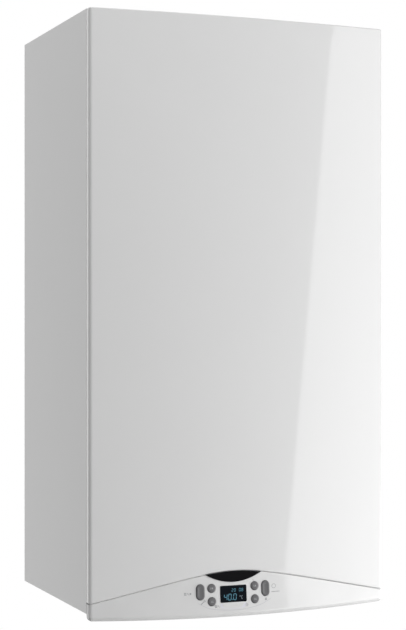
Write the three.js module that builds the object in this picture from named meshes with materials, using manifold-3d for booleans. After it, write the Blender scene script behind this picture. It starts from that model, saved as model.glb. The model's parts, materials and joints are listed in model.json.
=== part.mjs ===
// A wall-hung combination boiler, in millimetres: X to the right, front face towards -Y, Z up.
// The pieces are drawn in the casing's frame (wall at y = 0, lower front corners at z = 0), and the whole
// is then moved down, so that the origin lies on the wall at the middle of the hanging bracket.
import * as THREE from "three";
import { mergeVertices } from "three/addons/utils/BufferGeometryUtils.js";
import Module from "manifold-3d";

const wasm = await Module();
wasm.setup();

// Fits
const FIT = 0.3; // between faces that meet
const ROUND = 16; // sides of a round part
const FINE = 24; // sides of a large round part
const SMALL = 10; // sides of a small round part

// Casing
const CASE_WIDTH = 400;
const CASE_HEIGHT = 745;
const SIDE_DEPTH = 289;
const WALL_GAP = 16;
const SHEET = 1.2;
const PANEL_CROWN = 9;
const CORNER_RADIUS = 4;
const PANEL_RETURN = 11;
const RETURN_JOINT = 0.8;
const SIDE_FOOT = 8.1;
const SIDE_LIP = 14;
const TOP_SKIRT = 15;

// Arched seam between the front panel and the control fascia
const SEAM_CREST = 53.7;
const SEAM_AXIS_X = -10;
const SEAM_SLOPE = 0.218;
const SEAM_ROUNDING = 45;
const SEAM_GAP = 1.2;
const SEAM_STEPS = 20;

// Control fascia
const FASCIA_WALL = 2.5;
const FASCIA_BULGE = 5;
const FASCIA_DROOP = 3.6;
const LIP_RADIUS = 4;
const TRAY_RISE = 1;
const TRAY_BACK = 35;
const TRAY_INSET = 15;
const FASCIA_EAR_X = 150;
const FASCIA_EAR_WIDTH = 8;
const HINGE_DEPTH = 39;
const HINGE_HEIGHT = 6;
const HINGE_PIN_RADIUS = 2;
const HINGE_EYE_RADIUS = 5;
const HINGE_SIDE_GAP = 1;

// Keys, display and badge, in the plane of the fascia about the middle of the display
const CONTROL_X = -15.5;
const CONTROL_DROP = 28.7; // from the crest of the seam to the middle of the display
const KEY_PROUD = 1.3;
const KEY_GAP = 0.4;
const BUTTON_RADIUS = 5.3;
const BUTTON_X = 29;
const BUTTON_Z = 8.15;
const BUTTON_TRAVEL = 1.2;
const BUTTON_FLANGE = 0.7;
const BUTTON_FLANGE_THICKNESS = 1;
const BUTTON_FLANGE_GAP = 0.5;
const BUTTON_STEM_RADIUS = 2;
const BUTTON_STEM = 3;
const ROCKER_X = 43.8;
const ROCKER_Z = 4.2;
const ROCKER_WIDTH = 10.8;
const ROCKER_HEIGHT = 19.3;
const ROCKER_PIVOT_DEPTH = 4.2;
const ROCKER_BACK = 5;
const ROCKER_PIN_RADIUS = 1.2;
const ROCKER_PIN_LENGTH = 1.8;
const ROCKER_LUG_WIDTH = 1.7;
const ROCKER_LUG_HEIGHT = 6.4;
const ROCKER_SWITCH_Z = 6.5;
const ROCKER_SWITCH_GAP = 1.2;
const WINDOW_WIDTH = 34.9;
const WINDOW_HEIGHT = 20.2;
const WINDOW_RIM = 1.5;
const WINDOW_RIM_THICKNESS = 1.2;
const BADGE_WIDTH = 73;
const BADGE_X = -14.5;
const BADGE_DROP = 13;
const BADGE_THICKNESS = 1.6;
const BADGE_PROUD = 0.5;
const BOARD_WIDTH = 108;
const BOARD_RISE = 2; // above the cover's lower edge
const BOARD_HIGH = 17.5;
const BOARD_DEPTH = 10.5;
const BOARD_THICKNESS = 1.6;
const SWITCH_SIZE = 5;
const LCD_WIDTH = 39;
const LCD_HEIGHT = 24;
const COVER_WIDTH = 120;
const COVER_GAP = 2.5; // over the fascia's tray
const COVER_HIGH = 21;
const COVER_BACK = 22;
const COVER_WALL = 1.8;

// Wall bracket and rear frame
const HANGING_DROP = 55; // from the casing's top to the bracket's screws
const BRACKET_WIDTH = 300;
const BRACKET_STEEL = 2;
const BRACKET_BELOW = 25;
const BRACKET_ABOVE = 20;
const BRACKET_DEPTH = 9;
const BRACKET_LIP = 10;
const BRACKET_HOLE_X = 100;
const BRACKET_HOLE_RADIUS = 4.5;
const HOOK_WIDTH = 280;
const FRAME_FOOT = 20;
const FRAME_FLANGE = 30;
const FRAME_TOP_GAP = 4;
const SPACER_X = 120;
const SPACER_SIZE = 40;
const SPACER_Z = 60;

// Bottom plate
const FLOOR_HEIGHT = 12;
const FLOOR_FRONT_GAP = 9; // from the hinge axis to the plate's front edge
const FLOOR_FLANGE = 16;
const SCREW_X = 175;
const SCREW_LUG_Z = 34;
const SCREW_LUG_WIDTH = 20;
const SCREW_DEPTH = 20; // behind the front corner plane
const SCREW_SHANK_RADIUS = 2;
const SCREW_HEAD_RADIUS = 4.5;
const SCREW_HEAD_HEIGHT = 2.6;
const SCREW_LENGTH = 10;
const TONGUE_X = 120;
const TONGUE_WIDTH = 30;
const TONGUE_DROP = 7;
const TONGUE_LENGTH = 16;

// Heat exchanger, burner and flue
const EXCHANGER_X = 0;
const EXCHANGER_TOP_GAP = 62;
const EXCHANGER_BACK = 50;
const EXCHANGER_POST_WIDTH = 20;
const EXCHANGER_POST_HEIGHT = 30;
const EXCHANGER_FRONT_GAP = 90; // from the front corners to the exchanger's flange
const EXCHANGER_RADIUS = 108;
const EXCHANGER_WALL = 2;
const EXCHANGER_FLANGE = 6;
const EXCHANGER_CHAMFER = 6;
const COIL_TURNS = 6;
const COIL_RIB = 12;
const COIL_WALL = 3;
const COIL_END_GAP = 6;
const BURNER_RADIUS = 35;
const BURNER_LENGTH = 122;
const BURNER_WALL = 1.5;
const BURNER_FLANGE = 9;
const DOOR_THICKNESS = 12;
const PORT_X = 85;
const PORT_DEPTH = 80;
const PORT_LENGTH = 20;
const DRAIN_X = -40;
const DRAIN_SET = 25; // behind the exchanger's flange
const DRAIN_RADIUS = 8;
const DRAIN_LENGTH = 20;
const FLUE_DEPTH = 120;
const FLUE_RADIUS = 30;
const FLUE_WALL = 1.5;
const FLUE_SOCKET = 22;
const FLUE_INSERT = 12;
const COLLAR_RADIUS = 50;
const COLLAR_HEIGHT = 20;
const COLLAR_FLANGE = 12;
const ELECTRODE_X = 40;
const ELECTRODE_Z = 32;
const ELECTRODE_RADIUS = 4.5;
const ELECTRODE_REACH = 60;
const ELECTRODE_TAIL = 20;
const ELECTRODE_PLATE = 10;

// Fan, mixer and intake
const DUCT_WIDTH = 56;
const DUCT_DEPTH = 28;
const DUCT_WALL = 3;
const FAN_OFFSET_X = 38;
const FAN_TOP_GAP = 8;
const FAN_RADIUS = 58;
const FAN_SET = 4.7; // in front of the middle of the door's duct
const FAN_DEPTH = 34;
const FAN_WALL = 3;
const FAN_OUTLET = 40;
const FAN_MOTOR_RADIUS = 38;
const FAN_MOTOR_LENGTH = 42;
const FAN_SHAFT_RADIUS = 3;
const FAN_SHAFT_LENGTH = 18;
const FAN_BLADES = 10;
const FAN_WHEEL_CLEARANCE = 4;
const MIXER_RADIUS = 24;
const MIXER_THROAT = 16;
const MIXER_LENGTH = 22;
const MIXER_FLANGE = 6;
const MIXER_STUB = 12;
const SILENCER_WIDTH = 54;
const SILENCER_DEPTH = 20;
const SILENCER_REACH = 104;
const SILENCER_RISE = 125;
const SILENCER_WALL = 2;

// Gas and water pipes
const TAIL_SPACING = 67;
const TAIL_DEPTH = 95;
const TAIL_RADIUS = 9;
const TAIL_BORE = 7;
const TAIL_BELOW = 18;
const NUT_RADIUS = 14;
const NUT_HEIGHT = 18;
const PIPE_RADIUS = 9;
const GAS_PIPE_RADIUS = 7.5;
const PIPE_WALL = 1.2;
const BEND = 34;
const FLOW_BEND_HIGH = 0.35; // places of the bends, as shares of the pipe's height from its top
const FLOW_BEND_LOW = 0.59;
const RETURN_BEND_HIGH = 0.34;
const RETURN_BEND_LOW = 0.75;
const HOSE_BEND = 0.26;

// Hydraulic blocks, pump and plate heat exchanger
const BLOCK_FOOT = 60;
const BLOCK_HEIGHT = 40;
const BLOCK_TOWER = 50;
const BLOCK_OUTER_WALL = 26; // from the outer tail's axis
const BLOCK_INNER_WALL = 15; // from the inner tail's axis
const TOWER_WIDTH = 52;
const BLOCK_DEPTH = 66;
const PUMP_SEAT_GAP = 3;
const PUMP_RADIUS = 42;
const PUMP_DEPTH = 45;
const PUMP_WALL = 6;
const PUMP_WHEEL_RADIUS = 30;
const PUMP_WHEEL_THICKNESS = 12;
const PUMP_MOTOR_RADIUS = 45;
const PUMP_MOTOR_GAP = 15.7; // to the electronics box
const PUMP_SET = 55; // in front of the tails
const PUMP_SPIGOT = 14;
const PUMP_OUTLET_X = 30;
const PUMP_OUTLET_HEIGHT = 55;
const VENT_RADIUS = 13;
const VENT_HEIGHT = 90;
const PLATE_PACK_WIDTH = 200;
const PLATE_PACK_HEIGHT = 70;
const PLATE_PACK_DEPTH = 56;
const PLATE_LIFT = 2; // over the blocks' foot
const TURBINE_RADIUS = 7.4;
const TURBINE_HEIGHT = 10;
const TURBINE_CHAMBER = 24;
const TURBINE_BLADES = 4;
const VALVE_NECK_RADIUS = 8;
const VALVE_NECK = 10;
const VALVE_KNOB_RADIUS = 14;
const VALVE_KNOB_LENGTH = 16;
const KNOB_GRIP_RADIUS = 2.5;
const FILLING_DEPTH = 110;
const FILLING_NECK_Z = 25;
const FILLING_KNOB_RADIUS = 12;
const FILLING_KNOB_LOW = -12;

// Diverter valve
const DIVERTER_INSET = 20; // from the block's outer face
const DIVERTER_DEPTH = 110;
const DIVERTER_NECK_RADIUS = 11;
const DIVERTER_NECK = 14;
const DIVERTER_GAP = 11;
const DIVERTER_MOTOR_WIDTH = 36;
const DIVERTER_MOTOR_HEIGHT = 58;
const SPINDLE_RADIUS = 3;
const SPINDLE_GAP = 0.5;
const SPINDLE_DEPTH = 12;
const SPINDLE_ENTRY = 8;
const SPINDLE_TRAVEL = 5;

// Gas valve, expansion vessel and condensate trap
const GAS_VALVE_WIDTH = 64;
const GAS_VALVE_DEPTH = 70;
const GAS_VALVE_HEIGHT = 75;
const GAS_VALVE_GAP = 18; // over the plate heat exchanger
const SOLENOID_RADIUS = 15;
const SOLENOID_LENGTH = 35;
const SOLENOID_X = 16;
const VESSEL_X = -161;
const VESSEL_DEPTH = 150;
const VESSEL_DROP = 165; // from the casing's top to the vessel's middle
const VESSEL_RADIUS = 114;
const VESSEL_THICKNESS = 62;
const VESSEL_RIM = 4;
const VESSEL_WALL = 2;
const VESSEL_SHELF_REACH = 15; // in front of the vessel's middle
const NIPPLE_RADIUS = 7;
const NIPPLE_LENGTH = 12;
const NIPPLE_Y = -30;
const TRAP_X = -95;
const TRAP_SET = 42; // behind the bottom plate's front edge
const TRAP_RADIUS = 28;
const TRAP_FOOT = 225;
const TRAP_HEIGHT = 120;
const TRAP_OUTLET_RADIUS = 9;
const TRAP_OUTLET_LOW = -5;
const TRAP_NECK = 12;

// Pressure gauge and cable gland under the bottom plate
const GAUGE_X = -30;
const GAUGE_SET = 42; // behind the bottom plate's front edge
const GAUGE_RADIUS = 20;
const GAUGE_LOW = -2;
const GAUGE_HIGH = 28;
const GAUGE_DIAL = 8;
const POINTER_LENGTH = 13;
const POINTER_GAP = 2;
const POINTER_THICKNESS = 1.5;
const GLAND_X = 150;
const GLAND_SET = 32; // behind the bottom plate's front edge
const GLAND_RADIUS = 11;
const GLAND_STEM_RADIUS = 8.5;
const GLAND_BORE = 5;
const GLAND_LOW = 0;
const GLAND_HIGH = 22;

// Electronics box
const BOX_WIDTH = 290;
const BOX_FOOT = 62;
const BOX_HEIGHT = 110;
const BOX_FRONT_GAP = 14.2; // from the front corners to the lid
const BOX_DEPTH = 40;
const BOX_WALL = 2.5;
const BOX_POST = 8;
const BOX_POST_RADIUS = 4;
const BOARD_MARGIN = 8;
const TRANSFORMER = 42;
const RELAYS = 3;
const RELAY_PITCH = 24;
const RELAY_WIDTH = 18;
const RELAY_HEIGHT = 26;
const RELAY_DEPTH = 15;
const SOCKETS = 7;
const SOCKET_PITCH = 28;
const SOCKET_WIDTH = 22;
const SOCKET_HEIGHT = 12;
const CAPACITORS = 2;
const CAPACITOR_RADIUS = 8;
const CAPACITOR_LENGTH = 20;
const PROCESSOR = 40;
const LEAD_RADIUS = 2;
const LEAD_X = 185;
const LEAD_STEP = 20;
const LEAD_DROP = 40;
const LEAD_RISE = 60;
const BOX_INLET = 20;

// Sizes worked out from the ones above
const HALF = CASE_WIDTH / 2;
const FRONT_Y = -(WALL_GAP + SIDE_DEPTH);
const INNER_HALF = HALF - SHEET;
const SIDE_FRONT_Y = FRONT_Y + PANEL_RETURN + RETURN_JOINT;
const FLAT_HALF = HALF - CORNER_RADIUS;
const CROWN_RADIUS = CORNER_RADIUS + (FLAT_HALF ** 2 + PANEL_CROWN ** 2) / (2 * PANEL_CROWN);
const CROWN_ANGLE = Math.asin(FLAT_HALF / (CROWN_RADIUS - CORNER_RADIUS));
const HINGE_Y = FRONT_Y + HINGE_DEPTH;
const FLOOR_FRONT_Y = HINGE_Y + FLOOR_FRONT_GAP;
const FLOOR_TOP = FLOOR_HEIGHT + SHEET;
const FRAME_FACE_Y = -(WALL_GAP + SHEET);
const HANGING_HEIGHT = CASE_HEIGHT - HANGING_DROP;
const CONTROL_Z = SEAM_CREST - CONTROL_DROP;
const COVER_LOW = TRAY_RISE + FASCIA_WALL + COVER_GAP - CONTROL_Z;
const BOARD_LOW = COVER_LOW + BOARD_RISE;
const BOX_BACK = -FRONT_Y - BOX_FRONT_GAP - BOX_WALL - FIT - BOX_DEPTH;
const EXCHANGER_Z = CASE_HEIGHT - EXCHANGER_TOP_GAP - EXCHANGER_RADIUS;
const EXCHANGER_FRONT_Y = FRONT_Y + EXCHANGER_FRONT_GAP;
const DRAIN_DEPTH = -EXCHANGER_FRONT_Y - DRAIN_SET;
const DOOR_BACK_Y = EXCHANGER_FRONT_Y - FIT;
const DOOR_FRONT_Y = DOOR_BACK_Y - DOOR_THICKNESS;
const DUCT_LOW = EXCHANGER_Z - EXCHANGER_RADIUS - EXCHANGER_FLANGE;
const FAN_X = EXCHANGER_X + FAN_OFFSET_X;
const FAN_Z = DUCT_LOW - FAN_TOP_GAP - FAN_RADIUS;
const FAN_FRONT = -DOOR_FRONT_Y + DUCT_DEPTH / 2 + FAN_SET;
const TOWER_TOP = BLOCK_FOOT + BLOCK_HEIGHT + BLOCK_TOWER;
const BLOCK_FRONT_Y = -(TAIL_DEPTH + BLOCK_DEPTH / 2);
const BLOCK_BACK_Y = BLOCK_FRONT_Y + BLOCK_DEPTH;
const BLOCK_OUTER_X = 2 * TAIL_SPACING + BLOCK_OUTER_WALL;
const BLOCK_INNER_X = TAIL_SPACING - BLOCK_INNER_WALL;
const PUMP_X = 2 * TAIL_SPACING;
const PUMP_Z = TOWER_TOP + PUMP_SEAT_GAP + PUMP_RADIUS;
const PUMP_FRONT = TAIL_DEPTH + PUMP_SET;
const PUMP_MOTOR_LENGTH = BOX_BACK - PUMP_MOTOR_GAP - PUMP_FRONT - FIT;
const FILLING_X = 1.5 * TAIL_SPACING;
const DIVERTER_X = DIVERTER_INSET - BLOCK_OUTER_X;
const GAS_VALVE_Z = BLOCK_FOOT + PLATE_LIFT + PLATE_PACK_HEIGHT + GAS_VALVE_GAP;
const VESSEL_Z = CASE_HEIGHT - VESSEL_DROP;
const TRAP_DEPTH = -FLOOR_FRONT_Y - TRAP_SET;
const TRAP_TOP = TRAP_FOOT + TRAP_HEIGHT;
const GAUGE_DEPTH = -FLOOR_FRONT_Y - GAUGE_SET;
const GLAND_DEPTH = -FLOOR_FRONT_Y - GLAND_SET;

// ---------------------------------------------------------------------------------------------
// Materials

function finish(color, roughness, metalness = 0) {
  return new THREE.MeshStandardMaterial({ color, roughness, metalness });
}

const WHITE_STEEL = finish(0xeeeeee, 0.25);
const WHITE_PLASTIC = finish(0xeaeaea, 0.3);
const KEY_GREY = finish(0x5c5c5e, 0.5);
const GLOSS_BLACK = finish(0x0b0c0e, 0.12);
const GALVANISED = finish(0xa9adb0, 0.45, 0.9);
const STAINLESS = finish(0xb9bbbd, 0.3, 1);
const CAST_ALUMINIUM = finish(0x9fa1a3, 0.55, 0.9);
const COMPOSITE = finish(0x4a4d50, 0.5);
const COPPER = finish(0xb8683f, 0.35, 1);
const BLACK_PLASTIC = finish(0x222426, 0.55);
const BLACK_IRON = finish(0x2b2d30, 0.5, 0.4);
const RED_PAINT = finish(0xa52a22, 0.4);
const RED_PLASTIC = finish(0xb5281e, 0.4);
const BLUE_PLASTIC = finish(0x2457a0, 0.4);
const CLEAR_GREY = finish(0xd8dcdc, 0.35);
const CIRCUIT_GREEN = finish(0x1d5a35, 0.45);
const CERAMIC = finish(0xf0ede4, 0.4);
const RUBBER = finish(0x2a2a2a, 0.8);
const WHEEL_GREY = finish(0x6a6d70, 0.5);

// ---------------------------------------------------------------------------------------------
// Solids: closed meshes that are joined and cut

function signedVolume(positions, index) {
  const a = new THREE.Vector3();
  const b = new THREE.Vector3();
  const c = new THREE.Vector3();
  let sum = 0;
  for (let i = 0; i < index.length; i += 3) {
    a.fromArray(positions, 3 * index[i]);
    b.fromArray(positions, 3 * index[i + 1]);
    c.fromArray(positions, 3 * index[i + 2]);
    sum += a.dot(b.cross(c)) / 6;
  }
  return sum;
}

function toSolid(geometry) {
  const bare = geometry.index ? geometry.toNonIndexed() : geometry.clone();
  bare.deleteAttribute("normal");
  bare.deleteAttribute("uv");
  const merged = mergeVertices(bare, 1e-4);
  const positions = merged.attributes.position.array;
  const kept = [];
  for (let i = 0; i < merged.index.count; i += 3) {
    const [a, b, c] = [0, 1, 2].map((k) => merged.index.getX(i + k));
    if (a !== b && b !== c && c !== a) kept.push(a, b, c);
  }
  const inward = signedVolume(positions, kept) < 0;
  const triVerts = new Uint32Array(inward ? kept.reverse() : kept);
  return new wasm.Manifold(new wasm.Mesh({ numProp: 3, vertProperties: positions, triVerts }));
}

function toGeometry(body) {
  const mesh = body.getMesh();
  const geometry = new THREE.BufferGeometry();
  geometry.setAttribute("position", new THREE.BufferAttribute(mesh.vertProperties, 3));
  geometry.setIndex(new THREE.BufferAttribute(mesh.triVerts, 1));
  geometry.computeVertexNormals();
  return geometry;
}

function join(...pieces) {
  return toGeometry(pieces.map(toSolid).reduce((whole, piece) => whole.add(piece)));
}

function cut(body, ...tools) {
  return toGeometry(tools.map(toSolid).reduce((rest, tool) => rest.subtract(tool), toSolid(body)));
}

// A box between two limits on each axis.
function block([x0, x1], [y0, y1], [z0, z1]) {
  const geometry = new THREE.BoxGeometry(x1 - x0, y1 - y0, z1 - z0);
  return geometry.translate((x0 + x1) / 2, (y0 + y1) / 2, (z0 + z1) / 2);
}

// Turns what was drawn along Z so that it runs along the named axis: (u, v) become (y, z), (x, z) or (x, y).
function along(axis, geometry) {
  const [x, y, z] = [new THREE.Vector3(1, 0, 0), new THREE.Vector3(0, 1, 0), new THREE.Vector3(0, 0, 1)];
  if (axis === "x") return geometry.applyMatrix4(new THREE.Matrix4().makeBasis(y, z, x));
  if (axis === "y") return geometry.applyMatrix4(new THREE.Matrix4().makeBasis(x, z, y.negate()));
  return geometry;
}

// A point on the plane across the axis, (y, z), (x, z) or (x, y), at a distance along it.
function across(axis, [u, v], w) {
  if (axis === "x") return [w, u, v];
  if (axis === "y") return [u, w, v];
  return [u, v, w];
}

function rod(axis, radius, [from, to], centre = [0, 0], sides = ROUND) {
  const geometry = new THREE.CylinderGeometry(radius, radius, to - from, sides).rotateX(Math.PI / 2);
  return along(axis, geometry).translate(...across(axis, centre, (from + to) / 2));
}

function ring(axis, outer, inner, span, centre = [0, 0], sides = ROUND) {
  const hollow = [span[0] - 1, span[1] + 1];
  return cut(rod(axis, outer, span, centre, sides), rod(axis, inner, hollow, centre, sides));
}

function prism(axis, outline, [from, to]) {
  const shape = new THREE.Shape(outline.map(([u, v]) => new THREE.Vector2(u, v)));
  const geometry = new THREE.ExtrudeGeometry(shape, { depth: to - from, bevelEnabled: false });
  return along(axis, geometry).translate(...across(axis, [0, 0], axis === "y" ? to : from));
}

// A profile of [radius, distance along the axis] points, turned about the axis.
function turned(axis, profile, centre = [0, 0], sides = ROUND) {
  const points = profile.map(([radius, w]) => new THREE.Vector2(radius, axis === "y" ? -w : w));
  const geometry = new THREE.LatheGeometry(points, sides).rotateX(Math.PI / 2);
  return along(axis, geometry).translate(...across(axis, centre, 0));
}

// Straight runs between the points, with rounded corners.
function route(points, bend) {
  const stops = points.map((point) => new THREE.Vector3(...point));
  const path = new THREE.CurvePath();
  let from = stops[0];
  for (let i = 1; i < stops.length - 1; i += 1) {
    const back = stops[i - 1].clone().sub(stops[i]);
    const on = stops[i + 1].clone().sub(stops[i]);
    const reach = Math.min(bend, back.length() / 2, on.length() / 2);
    const entry = stops[i].clone().addScaledVector(back.normalize(), reach);
    const exit = stops[i].clone().addScaledVector(on.normalize(), reach);
    if (from.distanceTo(entry) > FIT) path.add(new THREE.LineCurve3(from, entry));
    path.add(new THREE.QuadraticBezierCurve3(entry, stops[i], exit));
    from = exit;
  }
  path.add(new THREE.LineCurve3(from, stops[stops.length - 1]));
  return path;
}

function circle(radius, sides) {
  return Array.from({ length: sides }, (_, i) => {
    const angle = (2 * Math.PI * i) / sides;
    return new THREE.Vector2(radius * Math.cos(angle), radius * Math.sin(angle));
  });
}

// A pipe along a route; with no wall it is a solid cable.
function pipe(points, radius, wall, { bend = BEND, steps = 14, sides = 8 } = {}) {
  const shape = new THREE.Shape(circle(radius, sides));
  if (wall) shape.holes.push(new THREE.Path(circle(radius - wall, sides).reverse()));
  return new THREE.ExtrudeGeometry(shape, { steps, bevelEnabled: false, extrudePath: route(points, bend) });
}

// A skin through closed sections: each has the same number of 2-D points and a rule that places them.
function loft(sections) {
  const count = sections[0].outline.length;
  const positions = sections.flatMap(({ outline, place }) => outline.flatMap((point) => place(point)));
  const index = [];
  for (let i = 0; i + 1 < sections.length; i += 1) {
    for (let j = 0; j < count; j += 1) {
      const [a, b] = [i * count + j, i * count + ((j + 1) % count)];
      index.push(a, b, b + count, a, b + count, a + count);
    }
  }
  [0, sections.length - 1].forEach((end) => {
    const outline = sections[end].outline.map(([u, v]) => new THREE.Vector2(u, v));
    const facing = Math.sign(THREE.ShapeUtils.area(outline)) * (end ? 1 : -1);
    THREE.ShapeUtils.triangulateShape(outline, []).forEach(([a, b, c]) => {
      const turn = Math.sign(THREE.ShapeUtils.area([outline[a], outline[b], outline[c]])) * facing;
      const order = turn > 0 ? [a, b, c] : [a, c, b];
      index.push(...order.map((corner) => corner + end * count));
    });
  });
  const geometry = new THREE.BufferGeometry();
  geometry.setAttribute("position", new THREE.Float32BufferAttribute(positions, 3));
  geometry.setIndex(index);
  return geometry;
}

function part(name, material, geometry, { at = [0, 0, 0] } = {}) {
  const mesh = new THREE.Mesh(toGeometry(toSolid(geometry)), material);
  mesh.name = name;
  mesh.position.set(...at);
  return mesh;
}

function assembly(...children) {
  return new THREE.Group().add(...children);
}

const MIRROR = [-1, 1];

// The same pieces on the left and on the right.
function bothSides(make) {
  return MIRROR.map((side) => make(side));
}

function span(centre, width) {
  return [centre - width / 2, centre + width / 2];
}

// ---------------------------------------------------------------------------------------------
// Front surface of the casing

// Points along the front in plan, from the left return round the crown to the right return, with their
// outward normals.
function frontStations(crownSteps, cornerSteps) {
  const stations = [];
  const cornerTurn = Math.PI / 2 - CROWN_ANGLE;
  const crownCentreY = FRONT_Y - PANEL_CROWN + CROWN_RADIUS;
  const corner = (side, turn) => {
    const [nx, ny] = [side * Math.cos(turn), -Math.sin(turn)];
    const x = side * FLAT_HALF + CORNER_RADIUS * nx;
    stations.push({ x, y: FRONT_Y + CORNER_RADIUS + CORNER_RADIUS * ny, nx, ny });
  };
  stations.push({ x: -HALF, y: FRONT_Y + PANEL_RETURN, nx: -1, ny: 0 });
  for (let i = 0; i < cornerSteps; i += 1) corner(-1, (cornerTurn * i) / cornerSteps);
  for (let i = 0; i <= crownSteps; i += 1) {
    const angle = CROWN_ANGLE * ((2 * i) / crownSteps - 1);
    const [nx, ny] = [Math.sin(angle), -Math.cos(angle)];
    stations.push({ x: CROWN_RADIUS * nx, y: crownCentreY + CROWN_RADIUS * ny, nx, ny });
  }
  for (let i = cornerSteps - 1; i >= 0; i -= 1) corner(1, (cornerTurn * i) / cornerSteps);
  stations.push({ x: HALF, y: FRONT_Y + PANEL_RETURN, nx: 1, ny: 0 });
  return stations;
}

function offsetPoint({ x, y, nx, ny }, out) {
  return [x + nx * out, y + ny * out];
}

function seamHeight(x) {
  const run = Math.hypot(x - SEAM_AXIS_X, SEAM_ROUNDING) - SEAM_ROUNDING;
  return SEAM_CREST - SEAM_SLOPE * run;
}

function flatness(x) {
  return Math.max(0, 1 - (x / FLAT_HALF) ** 2);
}

function lipBottom(x) {
  return -FASCIA_DROOP * flatness(x);
}

// How far the fascia stands out from the casing's crown at a place on its face.
function fasciaBulge(x, z) {
  const top = seamHeight(x);
  const low = lipBottom(x) + LIP_RADIUS;
  return FASCIA_BULGE * flatness(x) * Math.min(1, Math.max(0, (top - z) / (top - low)));
}

function fasciaFaceY(x, z) {
  const crown = FRONT_Y - PANEL_CROWN + CROWN_RADIUS - Math.sqrt(CROWN_RADIUS ** 2 - x ** 2);
  return crown - fasciaBulge(x, z);
}

// ---------------------------------------------------------------------------------------------
// Casing

function frontPanel() {
  const stations = frontStations(14, 3);
  const outer = stations.map((station) => offsetPoint(station, 0));
  const inner = stations.map((station) => offsetPoint(station, -SHEET)).reverse();
  const skin = prism("z", [...outer, ...inner], [0, CASE_HEIGHT]);
  const top = prism("z", outer, [CASE_HEIGHT - SHEET, CASE_HEIGHT]);
  const returnY = FRONT_Y + PANEL_RETURN;
  const seam = [];
  for (let i = 0; i <= SEAM_STEPS; i += 1) {
    const x = (HALF + SHEET) * ((2 * i) / SEAM_STEPS - 1);
    seam.push([x, seamHeight(x) + SEAM_GAP / 2]);
  }
  const below = [...seam, [HALF + SHEET, -SHEET], [-HALF - SHEET, -SHEET]];
  const tongues = bothSides((side) => {
    const x = span(side * TONGUE_X, TONGUE_WIDTH);
    const z = CASE_HEIGHT - SHEET - TONGUE_DROP;
    const fold = block(x, [returnY - SHEET, returnY], [z, CASE_HEIGHT - SHEET / 2]);
    return join(fold, block(x, [returnY - SHEET, returnY + TONGUE_LENGTH], [z, z + SHEET]));
  });
  const lugs = bothSides((side) => {
    const front = FRONT_Y - PANEL_CROWN * flatness(SCREW_X) / 2;
    const x = span(side * SCREW_X, SCREW_LUG_WIDTH);
    const y = [front, FRONT_Y + SCREW_DEPTH + SCREW_LUG_WIDTH / 2];
    const place = [side * SCREW_X, FRONT_Y + SCREW_DEPTH];
    const hole = rod("z", SCREW_SHANK_RADIUS + FIT, [0, CASE_HEIGHT], place, SMALL);
    return cut(block(x, y, [SCREW_LUG_Z, SCREW_LUG_Z + SHEET]), hole);
  });
  return cut(join(skin, top, ...tongues, ...lugs), prism("y", below, [FRONT_Y - 2 * PANEL_CROWN, 0]));
}

function casingScrew() {
  const head = SCREW_LUG_Z - FIT - SHEET - FIT;
  return join(
    rod("z", SCREW_HEAD_RADIUS, [head - SCREW_HEAD_HEIGHT, head], [0, 0], SMALL),
    rod("z", SCREW_SHANK_RADIUS, [head - SCREW_HEAD_HEIGHT / 2, head + SCREW_LENGTH], [0, 0], SMALL),
  );
}

function sidePanel(side) {
  const x = (near, far) => (side < 0 ? [-HALF + near, -HALF + far] : [HALF - far, HALF - near]);
  const back = -WALL_GAP;
  const lipTop = CASE_HEIGHT - SHEET - FIT;
  return join(
    block(x(0, SHEET), [SIDE_FRONT_Y, back], [SIDE_FOOT, CASE_HEIGHT]),
    block(x(0, SIDE_LIP), [SIDE_FRONT_Y, SIDE_FRONT_Y + SHEET], [SIDE_FOOT, lipTop]),
    block(x(0, SIDE_LIP), [SIDE_FRONT_Y, back], [SIDE_FOOT, SIDE_FOOT + SHEET]),
  );
}

function topPanel() {
  const low = CASE_HEIGHT - SHEET;
  const wide = INNER_HALF - FIT;
  const narrow = HALF - SIDE_LIP - FIT;
  const skirtFront = [SIDE_FRONT_Y, SIDE_FRONT_Y + SHEET];
  const backY = FRAME_FACE_Y - FIT;
  const tongueZ = low - TONGUE_DROP;
  const slots = bothSides((side) =>
    block(
      span(side * TONGUE_X, TONGUE_WIDTH + 4 * FIT),
      [SIDE_FRONT_Y - SHEET, SIDE_FRONT_Y + 2 * SHEET],
      [tongueZ - 2 * FIT, tongueZ + SHEET + 2 * FIT],
    ),
  );
  const plate = join(
    block([-wide, wide], [SIDE_FRONT_Y, -WALL_GAP], [low, CASE_HEIGHT]),
    block([-narrow, narrow], skirtFront, [low - TOP_SKIRT, CASE_HEIGHT - SHEET / 2]),
    block(
      [-wide + 2 * SHEET, wide - 2 * SHEET],
      [backY - SHEET, backY],
      [low - TOP_SKIRT, CASE_HEIGHT - SHEET / 2],
    ),
  );
  const flueAxis = [EXCHANGER_X, -FLUE_DEPTH];
  const flueHole = rod("z", COLLAR_RADIUS - FLUE_WALL, [low - 1, CASE_HEIGHT + 1], flueAxis, FINE);
  return cut(plate, flueHole, ...slots);
}

function tailPlaces() {
  return [-2, -1, 0, 1, 2].map((place) => place * TAIL_SPACING);
}

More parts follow.
